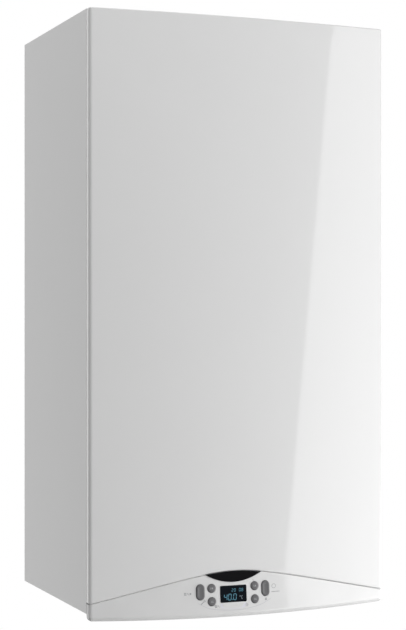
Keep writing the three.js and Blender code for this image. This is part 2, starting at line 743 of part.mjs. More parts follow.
function bottomPlate() {
  const wide = INNER_HALF - FIT;
  const backY = FRAME_FACE_Y - FIT;
  const through = [FLOOR_HEIGHT - 1, FLOOR_TOP + 1];
  const pieces = [
    block([-wide, wide], [FLOOR_FRONT_Y, -WALL_GAP], [FLOOR_HEIGHT, FLOOR_TOP]),
    block(
      [-wide + 2 * SHEET, wide - 2 * SHEET],
      [backY - SHEET, backY],
      [FLOOR_HEIGHT, FLOOR_TOP + FLOOR_FLANGE],
    ),
  ];
  MIRROR.forEach((side) => {
    const postX = side * (BOX_WIDTH / 2 - SCREW_LUG_WIDTH / 2);
    pieces.push(
      block(
        span(postX, SCREW_LUG_WIDTH),
        [FLOOR_FRONT_Y, FLOOR_FRONT_Y + SHEET],
        [FLOOR_HEIGHT, BOX_FOOT - FIT],
      ),
      screwBracket(side),
      hingeEar(side),
    );
  });
  const holes = [
    ...tailPlaces().map((x) => rod("z", TAIL_RADIUS + FIT, through, [x, -TAIL_DEPTH])),
    rod("z", TRAP_OUTLET_RADIUS + FIT, through, [TRAP_X, -TRAP_DEPTH]),
    rod("z", GAUGE_RADIUS + FIT, through, [GAUGE_X, -GAUGE_DEPTH]),
    rod("z", GLAND_STEM_RADIUS + FIT, through, [GLAND_X, -GLAND_DEPTH]),
    rod("z", FILLING_KNOB_RADIUS + KNOB_GRIP_RADIUS + 1.5, through, [FILLING_X, -FILLING_DEPTH]),
  ];
  return cut(join(...pieces), ...holes);
}

// A bracket with a slot that is open to the front, under the front panel's lug.
function screwBracket(side) {
  const top = SCREW_LUG_Z - FIT;
  const x = span(side * SCREW_X, SCREW_LUG_WIDTH);
  const slotY = FRONT_Y + SCREW_DEPTH;
  const reachY = slotY - SCREW_HEAD_RADIUS;
  const slotHalf = SCREW_SHANK_RADIUS + FIT;
  const shelf = block(x, [reachY, FLOOR_FRONT_Y + SHEET], [top - SHEET, top]);
  const riser = block(x, [FLOOR_FRONT_Y, FLOOR_FRONT_Y + SHEET], [FLOOR_HEIGHT, top]);
  const slot = block(
    [side * SCREW_X - slotHalf, side * SCREW_X + slotHalf],
    [reachY - SHEET, slotY + slotHalf],
    [top - 2 * SHEET, top + SHEET],
  );
  return cut(join(shelf, riser), slot);
}

// An ear that hangs under the plate's front edge and carries a pin of the fascia's hinge.
function hingeEar(side) {
  const inner = FASCIA_EAR_X + FASCIA_EAR_WIDTH / 2 + HINGE_SIDE_GAP;
  const pinInner = FASCIA_EAR_X - FASCIA_EAR_WIDTH / 2;
  const eye = HINGE_PIN_RADIUS + SHEET;
  const spanX = (a, b) => (side < 0 ? [-b, -a] : [a, b]);
  const outline = [
    [HINGE_Y - eye, HINGE_HEIGHT - eye / 2],
    [HINGE_Y, HINGE_HEIGHT - eye],
    [HINGE_Y + eye, HINGE_HEIGHT - eye / 2],
    [FLOOR_FRONT_Y + 2 * eye, FLOOR_HEIGHT + SHEET / 2],
    [FLOOR_FRONT_Y - SHEET, FLOOR_HEIGHT + SHEET / 2],
    [HINGE_Y - eye, HINGE_HEIGHT + eye / 2],
  ];
  return join(
    prism("x", outline, spanX(inner, inner + 2 * SHEET)),
    rod("x", HINGE_PIN_RADIUS, spanX(pinInner, inner + SHEET), [HINGE_Y, HINGE_HEIGHT], SMALL),
  );
}

function wallBracket() {
  const low = HANGING_HEIGHT - BRACKET_BELOW;
  const shelf = HANGING_HEIGHT + BRACKET_ABOVE;
  const lipTop = shelf + BRACKET_LIP;
  const t = BRACKET_STEEL;
  const section = [
    [0, low],
    [0, shelf],
    [-BRACKET_DEPTH + t, shelf],
    [-BRACKET_DEPTH + t, lipTop],
    [-BRACKET_DEPTH, lipTop],
    [-BRACKET_DEPTH, shelf - t],
    [-t, shelf - t],
    [-t, low],
  ];
  const holes = bothSides((side) =>
    rod("y", BRACKET_HOLE_RADIUS, [-t - 1, 1], [side * BRACKET_HOLE_X, HANGING_HEIGHT], SMALL),
  );
  return cut(prism("x", section, span(0, BRACKET_WIDTH)), ...holes);
}

// The pan behind everything: its hook hangs over the bracket's lip, and its spacers meet the wall.
function rearFrame() {
  const half = INNER_HALF - FIT;
  const top = CASE_HEIGHT - FRAME_TOP_GAP;
  const lipTop = HANGING_HEIGHT + BRACKET_ABOVE + BRACKET_LIP;
  const legBack = -BRACKET_DEPTH + BRACKET_STEEL + FIT;
  const hook = [
    [FRAME_FACE_Y + SHEET / 2, lipTop + FIT],
    [FRAME_FACE_Y + SHEET / 2, lipTop + FIT + SHEET],
    [legBack + SHEET, lipTop + FIT + SHEET],
    [legBack + SHEET, lipTop - BRACKET_LIP + 2 * FIT],
    [legBack, lipTop - BRACKET_LIP + 2 * FIT],
    [legBack, lipTop + FIT],
  ];
  const posts = bothSides((side) =>
    block(
      span(EXCHANGER_X + (side * EXCHANGER_RADIUS) / 2, EXCHANGER_POST_WIDTH),
      [-EXCHANGER_BACK + FIT, FRAME_FACE_Y + SHEET / 2],
      span(EXCHANGER_Z, EXCHANGER_POST_HEIGHT),
    ),
  );
  const shelfTop = VESSEL_Z - VESSEL_RADIUS - VESSEL_RIM - FIT;
  const vesselShelf = block(
    span(VESSEL_X, VESSEL_THICKNESS),
    [-VESSEL_DEPTH - VESSEL_SHELF_REACH, FRAME_FACE_Y + SHEET / 2],
    [shelfTop - 2 * SHEET, shelfTop],
  );
  return join(
    block([-half, half], [FRAME_FACE_Y, -WALL_GAP], [FRAME_FOOT, top]),
    ...bothSides((side) =>
      block(
        side < 0 ? [-half, -half + SHEET] : [half - SHEET, half],
        [-WALL_GAP - FRAME_FLANGE, -WALL_GAP],
        [FRAME_FOOT, top],
      ),
    ),
    prism("x", hook, span(0, HOOK_WIDTH)),
    ...bothSides((side) =>
      block(
        span(side * SPACER_X, SPACER_SIZE),
        [FRAME_FACE_Y + SHEET / 2, 0],
        span(SPACER_Z, SPACER_SIZE),
      ),
    ),
    ...posts,
    vesselShelf,
  );
}

function casing() {
  return assembly(
    part("wall_bracket", GALVANISED, wallBracket()),
    part("rear_frame", GALVANISED, rearFrame()),
    part("left_side_panel", WHITE_STEEL, sidePanel(-1)),
    part("right_side_panel", WHITE_STEEL, sidePanel(1)),
    part("top_panel", GALVANISED, topPanel()),
    part("bottom_plate", GALVANISED, bottomPlate()),
    part("cable_gland", BLACK_PLASTIC, cableGland(), { at: [GLAND_X, -GLAND_DEPTH, 0] }),
    part("gauge_body", BLACK_PLASTIC, gaugeBody(), { at: [GAUGE_X, -GAUGE_DEPTH, 0] }),
    part("gauge_pointer", RED_PLASTIC, gaugePointer(), { at: [GAUGE_X, -GAUGE_DEPTH, 0] }),
    part("front_panel", WHITE_STEEL, frontPanel()),
    part("casing_screw_left", GALVANISED, casingScrew(), { at: [-SCREW_X, FRONT_Y + SCREW_DEPTH, 0] }),
    part("casing_screw_right", GALVANISED, casingScrew(), { at: [SCREW_X, FRONT_Y + SCREW_DEPTH, 0] }),
  );
}

// The gland that the mains lead would come in by.
function cableGland() {
  const head = FLOOR_HEIGHT - FIT;
  const profile = [
    [GLAND_BORE, GLAND_LOW],
    [GLAND_RADIUS - 2, GLAND_LOW],
    [GLAND_RADIUS, GLAND_LOW + 4],
    [GLAND_RADIUS, head],
    [GLAND_STEM_RADIUS, head],
    [GLAND_STEM_RADIUS, FLOOR_TOP + FIT],
    [GLAND_RADIUS, FLOOR_TOP + FIT],
    [GLAND_RADIUS, GLAND_HIGH],
    [GLAND_BORE, GLAND_HIGH],
    [GLAND_BORE, GLAND_LOW],
  ];
  return turned("z", profile);
}

// A cup that opens downwards, with the dial at its bottom and an axle for the pointer.
function gaugeBody() {
  const rim = FLOOR_HEIGHT - FIT;
  const bore = GAUGE_RADIUS - FASCIA_WALL;
  const dial = GAUGE_LOW + GAUGE_DIAL;
  const profile = [
    [0, dial],
    [bore, dial],
    [bore, GAUGE_LOW],
    [GAUGE_RADIUS, GAUGE_LOW],
    [GAUGE_RADIUS, rim - 2],
    [GAUGE_RADIUS + 3, rim - 2],
    [GAUGE_RADIUS + 3, rim],
    [GAUGE_RADIUS, rim],
    [GAUGE_RADIUS, GAUGE_HIGH],
    [0, GAUGE_HIGH],
  ];
  const axle = rod("z", 1, [dial - POINTER_GAP - POINTER_THICKNESS, dial + 1], [0, 0], SMALL);
  return join(turned("z", profile), axle);
}

function gaugePointer() {
  const top = GAUGE_LOW + GAUGE_DIAL - POINTER_GAP;
  const z = [top - POINTER_THICKNESS, top];
  const hub = rod("z", 3, z, [0, 0], SMALL);
  const needle = prism("z", [[-1.2, -4], [1.2, -4], [0.4, POINTER_LENGTH], [-0.4, POINTER_LENGTH]], z);
  return cut(join(hub, needle), rod("z", 1 + FIT, [z[0] - 1, z[1] + 1], [0, 0], SMALL));
}

// ---------------------------------------------------------------------------------------------
// Heat exchanger, burner and flue, drawn about the exchanger's axis

function shellPort(x, depth, radius, length) {
  const low = -Math.sqrt(EXCHANGER_RADIUS ** 2 - x ** 2) - length;
  return { low, outer: rod("z", radius, [low, low + length + radius], [x, -depth], ROUND) };
}

function portBore(x, depth, radius, length) {
  const { low } = shellPort(x, depth, radius, length);
  return rod("z", radius - EXCHANGER_WALL, [low - 1, low + length + 2 * radius], [x, -depth], SMALL);
}

// A can with a chamfered closed back, set in by some depth from the shell's outside.
function exchangerCan(inset, mouth) {
  const back = -EXCHANGER_BACK - inset;
  const radius = EXCHANGER_RADIUS - inset;
  const profile = [
    [0, back],
    [radius - EXCHANGER_CHAMFER, back],
    [radius, back - EXCHANGER_CHAMFER],
    [radius, mouth],
    [0, mouth],
  ];
  return turned("y", profile, [0, 0], FINE);
}

function exchangerShell() {
  const front = EXCHANGER_FRONT_Y;
  const socketTop = EXCHANGER_RADIUS + FLUE_SOCKET;
  const socketFoot = EXCHANGER_RADIUS;
  const inside = EXCHANGER_RADIUS - 2 * DRAIN_RADIUS;
  const flue = [0, -FLUE_DEPTH];
  return cut(
    join(
      exchangerCan(0, front),
      rod("y", EXCHANGER_RADIUS + EXCHANGER_FLANGE, [front, front + DOOR_THICKNESS / 2], [0, 0], FINE),
      ...MIRROR.map((side) => shellPort(side * PORT_X, PORT_DEPTH, PIPE_RADIUS + 2, PORT_LENGTH).outer),
      shellPort(DRAIN_X, DRAIN_DEPTH, DRAIN_RADIUS, DRAIN_LENGTH).outer,
      rod("z", FLUE_RADIUS + FIT + EXCHANGER_WALL, [inside, socketTop], flue),
    ),
    exchangerCan(EXCHANGER_WALL, front - 1),
    ...MIRROR.map((side) => portBore(side * PORT_X, PORT_DEPTH, PIPE_RADIUS + 2, PORT_LENGTH)),
    portBore(DRAIN_X, DRAIN_DEPTH, DRAIN_RADIUS, DRAIN_LENGTH),
    rod("z", FLUE_RADIUS + FIT, [socketFoot, socketTop + 1], flue),
    rod("z", FLUE_RADIUS - 2 * EXCHANGER_WALL, [inside, socketTop], flue),
  );
}

// The pack of finned tube turns that lines the shell, drawn as one sleeve that is ribbed inside and out.
function exchangerCoil() {
  const back = -EXCHANGER_BACK - EXCHANGER_WALL - COIL_END_GAP;
  const front = EXCHANGER_FRONT_Y + COIL_END_GAP;
  const pitch = (back - front) / COIL_TURNS;
  const crest = EXCHANGER_RADIUS - EXCHANGER_WALL - FIT;
  const ribs = Array.from({ length: 2 * COIL_TURNS + 1 }, (_, i) => {
    const radius = i % 2 ? crest : crest - COIL_RIB;
    return [radius, front + (i * pitch) / 2];
  });
  const inside = ribs.map(([radius, y]) => [radius - COIL_WALL, y]).reverse();
  return turned("y", [...ribs, ...inside, ribs[0]], [0, 0], FINE);
}

function burnerTube() {
  const front = EXCHANGER_FRONT_Y;
  const flange = front + BURNER_WALL;
  const end = front + BURNER_LENGTH;
  const profile = [
    [BURNER_RADIUS - BURNER_WALL, front],
    [BURNER_RADIUS + BURNER_FLANGE, front],
    [BURNER_RADIUS + BURNER_FLANGE, flange],
    [BURNER_RADIUS, flange],
    [BURNER_RADIUS, end],
    [0, end],
    [0, end - BURNER_WALL],
    [BURNER_RADIUS - BURNER_WALL, end - BURNER_WALL],
    [BURNER_RADIUS - BURNER_WALL, front],
  ];
  return turned("y", profile);
}

// A rounded slot outline in (x, z) that runs straight down from the axis.
function droppedSlot(half, low) {
  const arc = Array.from({ length: 9 }, (_, i) => {
    const angle = (Math.PI * i) / 8;
    return [half * Math.cos(angle), half * Math.sin(angle)];
  });
  return [...arc, [-half, low], [half, low]];
}

// The cast door: a disc with the duct that brings the air and gas up from the fan.
function burnerDoor() {
  const low = DUCT_LOW - EXCHANGER_Z;
  const half = DUCT_WIDTH / 2;
  const duct = prism("y", droppedSlot(half, low), [DOOR_FRONT_Y - DUCT_DEPTH, DOOR_FRONT_Y + 1]);
  const inside = prism(
    "y",
    droppedSlot(half - DUCT_WALL, low - 1),
    [DOOR_FRONT_Y - DUCT_DEPTH + DUCT_WALL, DOOR_FRONT_Y - DUCT_WALL],
  );
  const disc = rod("y", EXCHANGER_RADIUS + EXCHANGER_FLANGE, [DOOR_FRONT_Y, DOOR_BACK_Y], [0, 0], FINE);
  const bolts = [1, 3, 5, 7, 9, 11].map((hour) => {
    const angle = (hour * Math.PI) / 6;
    const radius = EXCHANGER_RADIUS - SCREW_HEAD_RADIUS;
    const place = [radius * Math.sin(angle), radius * Math.cos(angle)];
    return rod("y", SCREW_HEAD_RADIUS, [DOOR_FRONT_Y - 5, DOOR_FRONT_Y + 1], place, 6);
  });
  return cut(
    join(disc, duct, ...bolts),
    inside,
    rod("y", BURNER_RADIUS - 9, [DOOR_FRONT_Y - DUCT_DEPTH / 2, DOOR_BACK_Y + 1], [0, 0]),
    rod("y", ELECTRODE_RADIUS + FIT, [DOOR_FRONT_Y - 1, DOOR_BACK_Y + 1], [ELECTRODE_X, ELECTRODE_Z], SMALL),
  );
}

// The electrode through the door, with the lead that is moulded to it and runs down to the electronics box.
function ignitionElectrode() {
  const face = DOOR_FRONT_Y - FIT;
  const place = [EXCHANGER_X + ELECTRODE_X, EXCHANGER_Z + ELECTRODE_Z];
  const tailEnd = face - ELECTRODE_TAIL;
  const boxTop = BOX_FOOT + BOX_HEIGHT + FIT;
  const endX = BOX_WIDTH / 2 - BOX_INLET;
  const endY = -BOX_BACK - BOX_DEPTH / 2;
  const lead = [
    [place[0], tailEnd + LEAD_RADIUS, place[1]],
    [place[0], tailEnd - LEAD_STEP, place[1]],
    [LEAD_X, endY, place[1] - LEAD_DROP],
    [LEAD_X, endY, boxTop + LEAD_RISE],
    [endX, endY, boxTop + LEAD_RISE - LEAD_STEP],
    [endX, endY, boxTop],
  ];
  return join(
    rod("y", ELECTRODE_RADIUS, [tailEnd, DOOR_BACK_Y + 8], place, SMALL),
    rod("y", ELECTRODE_PLATE, [face - 2, face], place, SMALL),
    rod("y", 1.2, [DOOR_BACK_Y, DOOR_BACK_Y + ELECTRODE_REACH], place, 8),
    pipe(lead, LEAD_RADIUS, 0, { bend: 30, steps: 30 }),
  );
}

function flueDuct() {
  const low = EXCHANGER_RADIUS + FLUE_SOCKET - FLUE_INSERT;
  const high = CASE_HEIGHT + COLLAR_HEIGHT - EXCHANGER_Z;
  return ring("z", FLUE_RADIUS, FLUE_RADIUS - FLUE_WALL, [low, high], [0, -FLUE_DEPTH]);
}

function flueCollar() {
  const low = CASE_HEIGHT + FIT;
  const flange = rod("z", COLLAR_RADIUS + COLLAR_FLANGE, [low, low + 2], [0, 0], FINE);
  const wall = rod("z", COLLAR_RADIUS, [low, CASE_HEIGHT + COLLAR_HEIGHT], [0, 0], FINE);
  const bore = [low - 1, CASE_HEIGHT + COLLAR_HEIGHT + 1];
  return cut(join(flange, wall), rod("z", COLLAR_RADIUS - 2 * FLUE_WALL, bore, [0, 0], FINE));
}

// ---------------------------------------------------------------------------------------------
// Fan, mixer and intake, drawn about the fan's axis

function fanHousing() {
  const front = -FAN_FRONT;
  const back = front + FAN_DEPTH;
  const ductMid = DOOR_FRONT_Y - DUCT_DEPTH / 2;
  const outletTop = DUCT_LOW - FIT - FAN_Z;
  const outletX = span(-FAN_OFFSET_X, FAN_OUTLET);
  const outletY = span(ductMid, DUCT_DEPTH - 2 * DUCT_WALL);
  const outletFoot = MIXER_RADIUS + MIXER_FLANGE + 2 * FIT;
  const inset = (range) => [range[0] + FAN_WALL, range[1] - FAN_WALL];
  const shaftHole = [back - FAN_WALL - 1, back + FAN_SHAFT_LENGTH + FAN_WALL];
  return cut(
    join(
      rod("y", FAN_RADIUS, [front, back], [0, 0], FINE),
      rod("y", FAN_MOTOR_RADIUS, [back - 1, back + FAN_MOTOR_LENGTH], [0, 0]),
      block(outletX, outletY, [outletFoot, outletTop]),
    ),
    rod("y", FAN_RADIUS - FAN_WALL, inset([front, back]), [0, 0], FINE),
    block(inset(outletX), inset(outletY), [outletFoot + FAN_WALL, outletTop + 1]),
    rod("y", MIXER_THROAT + 4, [front - 1, front + FAN_WALL + 1], [0, 0]),
    rod("y", FAN_SHAFT_RADIUS + FIT, shaftHole, [0, 0], SMALL),
  );
}

// A backplate with straight blades, on the shaft that runs into the motor.
function fanImpeller() {
  const front = -FAN_FRONT + FAN_WALL + FAN_WHEEL_CLEARANCE;
  const back = -FAN_FRONT + FAN_DEPTH - FAN_WALL - FAN_WHEEL_CLEARANCE;
  const radius = FAN_RADIUS - FAN_WALL - FAN_WHEEL_CLEARANCE;
  const blades = Array.from({ length: FAN_BLADES }, (_, i) =>
    block([MIXER_THROAT, radius - 1], [front, back - 1], [-1, 1]).rotateY((2 * Math.PI * i) / FAN_BLADES),
  );
  const shaftEnd = -FAN_FRONT + FAN_DEPTH + FAN_SHAFT_LENGTH;
  return join(
    rod("y", radius, [back - 2, back], [0, 0]),
    rod("y", FAN_SHAFT_RADIUS * 3, [front + 4, back - 1], [0, 0], SMALL),
    rod("y", FAN_SHAFT_RADIUS, [back - 3, shaftEnd], [0, 0], SMALL),
    ...blades,
  );
}

function airGasMixer() {
  const back = -FAN_FRONT - FIT;
  const front = back - MIXER_LENGTH;
  const wide = MIXER_RADIUS - FAN_WALL;
  const profile = [
    [MIXER_THROAT, back],
    [MIXER_RADIUS + MIXER_FLANGE, back],
    [MIXER_RADIUS + MIXER_FLANGE, back - 3],
    [MIXER_RADIUS, back - 3],
    [MIXER_RADIUS, front],
    [wide, front],
    [MIXER_THROAT, (front + back) / 2],
    [MIXER_THROAT, back],
  ];
  const mid = (front + back) / 2;
  const stubEnd = -MIXER_RADIUS - MIXER_STUB;
  const stub = rod("z", GAS_PIPE_RADIUS + 1, [stubEnd, -MIXER_THROAT - 3], [0, mid], SMALL);
  const feed = rod("z", GAS_PIPE_RADIUS - 2, [stubEnd - 1, -MIXER_THROAT + 1], [0, mid], SMALL);
  return cut(join(turned("y", profile), stub), feed);
}

// An L-shaped box: round about the mixer, along to the right, then up to its open mouth.
function silencerOutline(half, mouth) {
  const arc = Array.from({ length: 9 }, (_, i) => {
    const angle = Math.PI / 2 + (Math.PI * i) / 8;
    return [half * Math.cos(angle), half * Math.sin(angle)];
  });
  return [
    ...arc,
    [SILENCER_REACH + half, -half],
    [SILENCER_REACH + half, mouth],
    [SILENCER_REACH - half, mouth],
    [SILENCER_REACH - half, half],
  ];
}

function intakeSilencer() {
  const back = -FAN_FRONT - MIXER_LENGTH - 2 * FIT;
  const front = back - SILENCER_DEPTH;
  const half = SILENCER_WIDTH / 2;
  return cut(
    prism("y", silencerOutline(half, SILENCER_RISE), [front, back]),
    prism(
      "y",
      silencerOutline(half - SILENCER_WALL, SILENCER_RISE + 1),
      [front + SILENCER_WALL, back - SILENCER_WALL],
    ),
    rod("y", MIXER_RADIUS - FAN_WALL, [back - 2 * SILENCER_WALL, back + 1], [0, 0]),
  );
}

function combustion() {
  const exchanger = assembly(
    part("heat_exchanger_shell", STAINLESS, exchangerShell()),
    part("heat_exchanger_coil", STAINLESS, exchangerCoil()),
    part("burner_tube", STAINLESS, burnerTube()),
    part("burner_door", CAST_ALUMINIUM, burnerDoor()),
    part("flue_duct", CLEAR_GREY, flueDuct()),
  );
  exchanger.position.set(EXCHANGER_X, 0, EXCHANGER_Z);
  const fan = assembly(
    part("fan_housing", CAST_ALUMINIUM, fanHousing()),
    part("fan_impeller", WHEEL_GREY, fanImpeller()),
    part("air_gas_mixer", CAST_ALUMINIUM, airGasMixer()),
    part("intake_silencer", BLACK_PLASTIC, intakeSilencer()),
  );
  fan.position.set(FAN_X, 0, FAN_Z);
  const collar = part("flue_collar", WHITE_PLASTIC, flueCollar(), { at: [EXCHANGER_X, -FLUE_DEPTH, 0] });
  return assembly(exchanger, fan, collar, part("ignition_electrode", CERAMIC, ignitionElectrode()));
}

// ---------------------------------------------------------------------------------------------
// Gas and water

// A tail that hangs under the boiler, with the union nut that the installer's pipe screws to.
function tail(top) {
  const low = -TAIL_BELOW;
  const nut = low + NUT_HEIGHT;
  const profile = [
    [TAIL_BORE, low],
    [NUT_RADIUS, low],
    [NUT_RADIUS, nut],
    [TAIL_RADIUS, nut],
    [TAIL_RADIUS, top],
    [TAIL_BORE, top],
    [TAIL_BORE, low],
  ];
  return turned("z", profile);
}

// One half of the hydraulic group; the other is its mirror image up to its own fittings.
function waterBlock(side) {
  const x = (near, far) => (side < 0 ? [-far, -near] : [near, far]);
  const y = [BLOCK_FRONT_Y, BLOCK_BACK_Y];
  const lowTop = BLOCK_FOOT + BLOCK_HEIGHT;
  return join(
    block(x(BLOCK_INNER_X, BLOCK_OUTER_X), y, [BLOCK_FOOT, lowTop]),
    block(x(BLOCK_OUTER_X - TOWER_WIDTH, BLOCK_OUTER_X), y, [lowTop - 1, TOWER_TOP]),
  );
}

function blockBores(side) {
  const low = BLOCK_FOOT - 1;
  const mid = BLOCK_FOOT + BLOCK_HEIGHT / 2;
  return [
    rod("z", TAIL_BORE, [low, mid], [side * TAIL_SPACING, -TAIL_DEPTH], SMALL),
    rod("z", TAIL_BORE, [low, mid], [side * 2 * TAIL_SPACING, -TAIL_DEPTH], SMALL),
  ];
}

function flowBlock() {
  const neckTop = TOWER_TOP + DIVERTER_NECK;
  const place = [DIVERTER_X, -DIVERTER_DEPTH];
  const spindleBore = [TOWER_TOP - SPINDLE_DEPTH - SPINDLE_GAP, neckTop + 1];
  return cut(
    join(waterBlock(-1), rod("z", DIVERTER_NECK_RADIUS, [TOWER_TOP - 1, neckTop], place)),
    ...blockBores(-1),
    rod("z", SPINDLE_RADIUS + SPINDLE_GAP, spindleBore, place, SMALL),
  );
}

function diverterSpindle() {
  const motorFoot = TOWER_TOP + DIVERTER_NECK + DIVERTER_GAP;
  const high = motorFoot + SPINDLE_ENTRY;
  const plate = TOWER_TOP + DIVERTER_NECK + SPINDLE_GAP;
  return join(
    rod("z", SPINDLE_RADIUS, [TOWER_TOP - SPINDLE_DEPTH, high], [0, 0], SMALL),
    rod("z", SPINDLE_RADIUS + 3, [plate, plate + 2], [0, 0], SMALL),
  );
}

function diverterMotor() {
  const low = TOWER_TOP + DIVERTER_NECK + DIVERTER_GAP;
  const half = DIVERTER_MOTOR_WIDTH / 2;
  const legHalf = DIVERTER_NECK_RADIUS / 2;
  const spindleBore = [low - 1, low + SPINDLE_ENTRY + SPINDLE_TRAVEL + 1];
  return cut(
    join(
      block([-half, half], [-half, half], [low, low + DIVERTER_MOTOR_HEIGHT]),
      ...bothSides((side) =>
        block(
          side < 0 ? [-half, -half + 3] : [half - 3, half],
          [-legHalf, legHalf],
          [TOWER_TOP + FIT, low + 1],
        ),
      ),
    ),
    rod("z", SPINDLE_RADIUS + SPINDLE_GAP, spindleBore, [0, 0], SMALL),
  );
}

function returnBlock() {
  const turbineTop = BLOCK_FOOT + 2 + TURBINE_CHAMBER;
  return cut(
    join(
      waterBlock(1),
      rod("y", VALVE_NECK_RADIUS, [BLOCK_FRONT_Y - VALVE_NECK, BLOCK_FRONT_Y + 1], [PUMP_X, BLOCK_FOOT + 20]),
      rod("z", VALVE_NECK_RADIUS - 1, [FILLING_NECK_Z, BLOCK_FOOT + 1], [FILLING_X, -FILLING_DEPTH]),
    ),
    ...blockBores(1),
    rod("z", TURBINE_RADIUS + 2 * FIT, [BLOCK_FOOT + 2, turbineTop], [TAIL_SPACING, -TAIL_DEPTH]),
  );
}

// The wheel of the water flow sensor, in its chamber over the cold tail.
function flowTurbine() {
  const low = BLOCK_FOOT + 6;
  const blades = Array.from({ length: TURBINE_BLADES }, (_, i) =>
    block([0, TURBINE_RADIUS], [-0.6, 0.6], [low, low + TURBINE_HEIGHT]).rotateZ(
      (2 * Math.PI * i) / TURBINE_BLADES,
    ),
  );
  const hub = rod("z", 2.5, [low, low + TURBINE_HEIGHT], [0, 0], SMALL);
  const pin = rod("z", 1, [low - 1, BLOCK_FOOT + 2 + TURBINE_CHAMBER - FIT], [0, 0], 8);
  return join(hub, pin, ...blades);
}

function turnKnob(radius, length) {
  const grips = Array.from({ length: 6 }, (_, i) =>
    rod("z", KNOB_GRIP_RADIUS, [0, length], [0, radius], 8).rotateZ((i * Math.PI) / 3),
  );
  return join(rod("z", radius - 1, [0, length], [0, 0]), ...grips);
}

// The volute stands on the return block; its chamber is open to the front, where the motor closes it.
function pumpHousing() {
  const front = -PUMP_FRONT;
  const back = front + PUMP_DEPTH;
  const chamber = PUMP_RADIUS - PUMP_WALL;
  const foot = TOWER_TOP + FIT - PUMP_Z;
  const middle = (front + back) / 2;
  const outlet = [-PUMP_OUTLET_X, middle];
  return cut(
    join(
      rod("y", PUMP_RADIUS, [front, back]),
      rod("z", PUMP_SPIGOT, [foot, 0], [0, middle]),
      rod("z", PIPE_RADIUS + 3, [0, PUMP_OUTLET_HEIGHT], outlet),
      rod("z", VENT_RADIUS, [0, VENT_HEIGHT], [10, middle]),
      rod("z", VENT_RADIUS / 2, [0, VENT_HEIGHT + 8], [10, middle], SMALL),
    ),
    rod("y", chamber, [front - 1, back - PUMP_WALL]),
    rod("z", PUMP_SPIGOT - PUMP_WALL, [foot - 1, 0], [0, middle], SMALL),
    rod("z", PIPE_RADIUS - PIPE_WALL, [0, PUMP_OUTLET_HEIGHT + 1], outlet, SMALL),
  );
}

function pumpImpeller() {
  const back = -PUMP_FRONT + PUMP_DEPTH - PUMP_WALL - 4;
  const front = back - PUMP_WHEEL_THICKNESS;
  return join(
    rod("y", PUMP_WHEEL_RADIUS, [front, back]),
    rod("y", PUMP_WHEEL_RADIUS / 2, [front - 3, back + 2], [0, 0], SMALL),
    rod("y", 4, [-PUMP_FRONT - 10, front], [0, 0], SMALL),
  );
}

function pumpMotor() {
  const back = -PUMP_FRONT - FIT;
  const front = back - PUMP_MOTOR_LENGTH;
  const profile = [
    [0, back],
    [PUMP_RADIUS, back],
    [PUMP_RADIUS, back - 8],
    [PUMP_MOTOR_RADIUS, back - 8],
    [PUMP_MOTOR_RADIUS, front + 6],
    [PUMP_MOTOR_RADIUS - 6, front],
    [0, front],
  ];
  const socket = rod("y", 4 + FIT, [back - 12, back + 1], [0, 0], SMALL);
  const cap = rod("y", 8, [front - 2, front + 1], [0, 0], SMALL);
  return cut(join(turned("y", profile), cap), socket);
}

function plateHeatExchanger() {
  const back = BLOCK_FRONT_Y - FIT;
  const front = back - PLATE_PACK_DEPTH;
  const low = BLOCK_FOOT + PLATE_LIFT;
  const half = PLATE_PACK_WIDTH / 2;
  const corner = 10;
  const outline = (inset) => [
    [-half + corner, low + inset],
    [half - corner, low + inset],
    [half - inset, low + corner],
    [half - inset, low + PLATE_PACK_HEIGHT - corner],
    [half - corner, low + PLATE_PACK_HEIGHT - inset],
    [-half + corner, low + PLATE_PACK_HEIGHT - inset],
    [-half + inset, low + PLATE_PACK_HEIGHT - corner],
    [-half + inset, low + corner],
  ];
  const bands = 4;
  const pitch = (back - front) / bands;
  const layers = Array.from({ length: bands }, (_, i) => {
    const start = front + i * pitch;
    return [
      prism("y", outline(0), [start, start + pitch / 2]),
      prism("y", outline(2), [start + pitch / 2 - 0.5, start + pitch + 0.5]),
    ];
  });
  const pack = join(...layers.flat());
  const behind = block([-half - 1, half + 1], [back, back + pitch], [low - 1, low + PLATE_PACK_HEIGHT + 1]);
  return cut(pack, behind);
}

function gasValve() {
  const half = GAS_VALVE_WIDTH / 2;
  const [frontY, backY] = span(-TAIL_DEPTH, GAS_VALVE_DEPTH);
  const low = GAS_VALVE_Z + FIT;
  const solenoidZ = GAS_VALVE_Z + GAS_VALVE_HEIGHT / 2;
  return cut(
    join(
      block([-half, half], [frontY, backY], [low, GAS_VALVE_Z + GAS_VALVE_HEIGHT]),
      ...bothSides((side) =>
        rod("y", SOLENOID_RADIUS, [frontY - SOLENOID_LENGTH, frontY + 1], [side * SOLENOID_X, solenoidZ]),
      ),
    ),
    rod("z", TAIL_BORE, [low - 1, low + 10], [0, -TAIL_DEPTH], SMALL),
    rod("z", TAIL_BORE, [solenoidZ + 20, GAS_VALVE_Z + GAS_VALVE_HEIGHT + 1], [0, -TAIL_DEPTH], SMALL),
  );
}

function gasPipe() {
  const mixerY = -FAN_FRONT - FIT - MIXER_LENGTH / 2;
  const start = GAS_VALVE_Z + GAS_VALVE_HEIGHT + FIT;
  const end = FAN_Z - MIXER_RADIUS - MIXER_STUB - FIT;
  const level = (start + end) / 2;
  const points = [
    [0, -TAIL_DEPTH, start],
    [0, -TAIL_DEPTH, level],
    [FAN_X, mixerY, level],
    [FAN_X, mixerY, end],
  ];
  return pipe(points, GAS_PIPE_RADIUS, PIPE_WALL);
}

function portFoot(x) {
  return EXCHANGER_Z - Math.sqrt(EXCHANGER_RADIUS ** 2 - x ** 2);
}

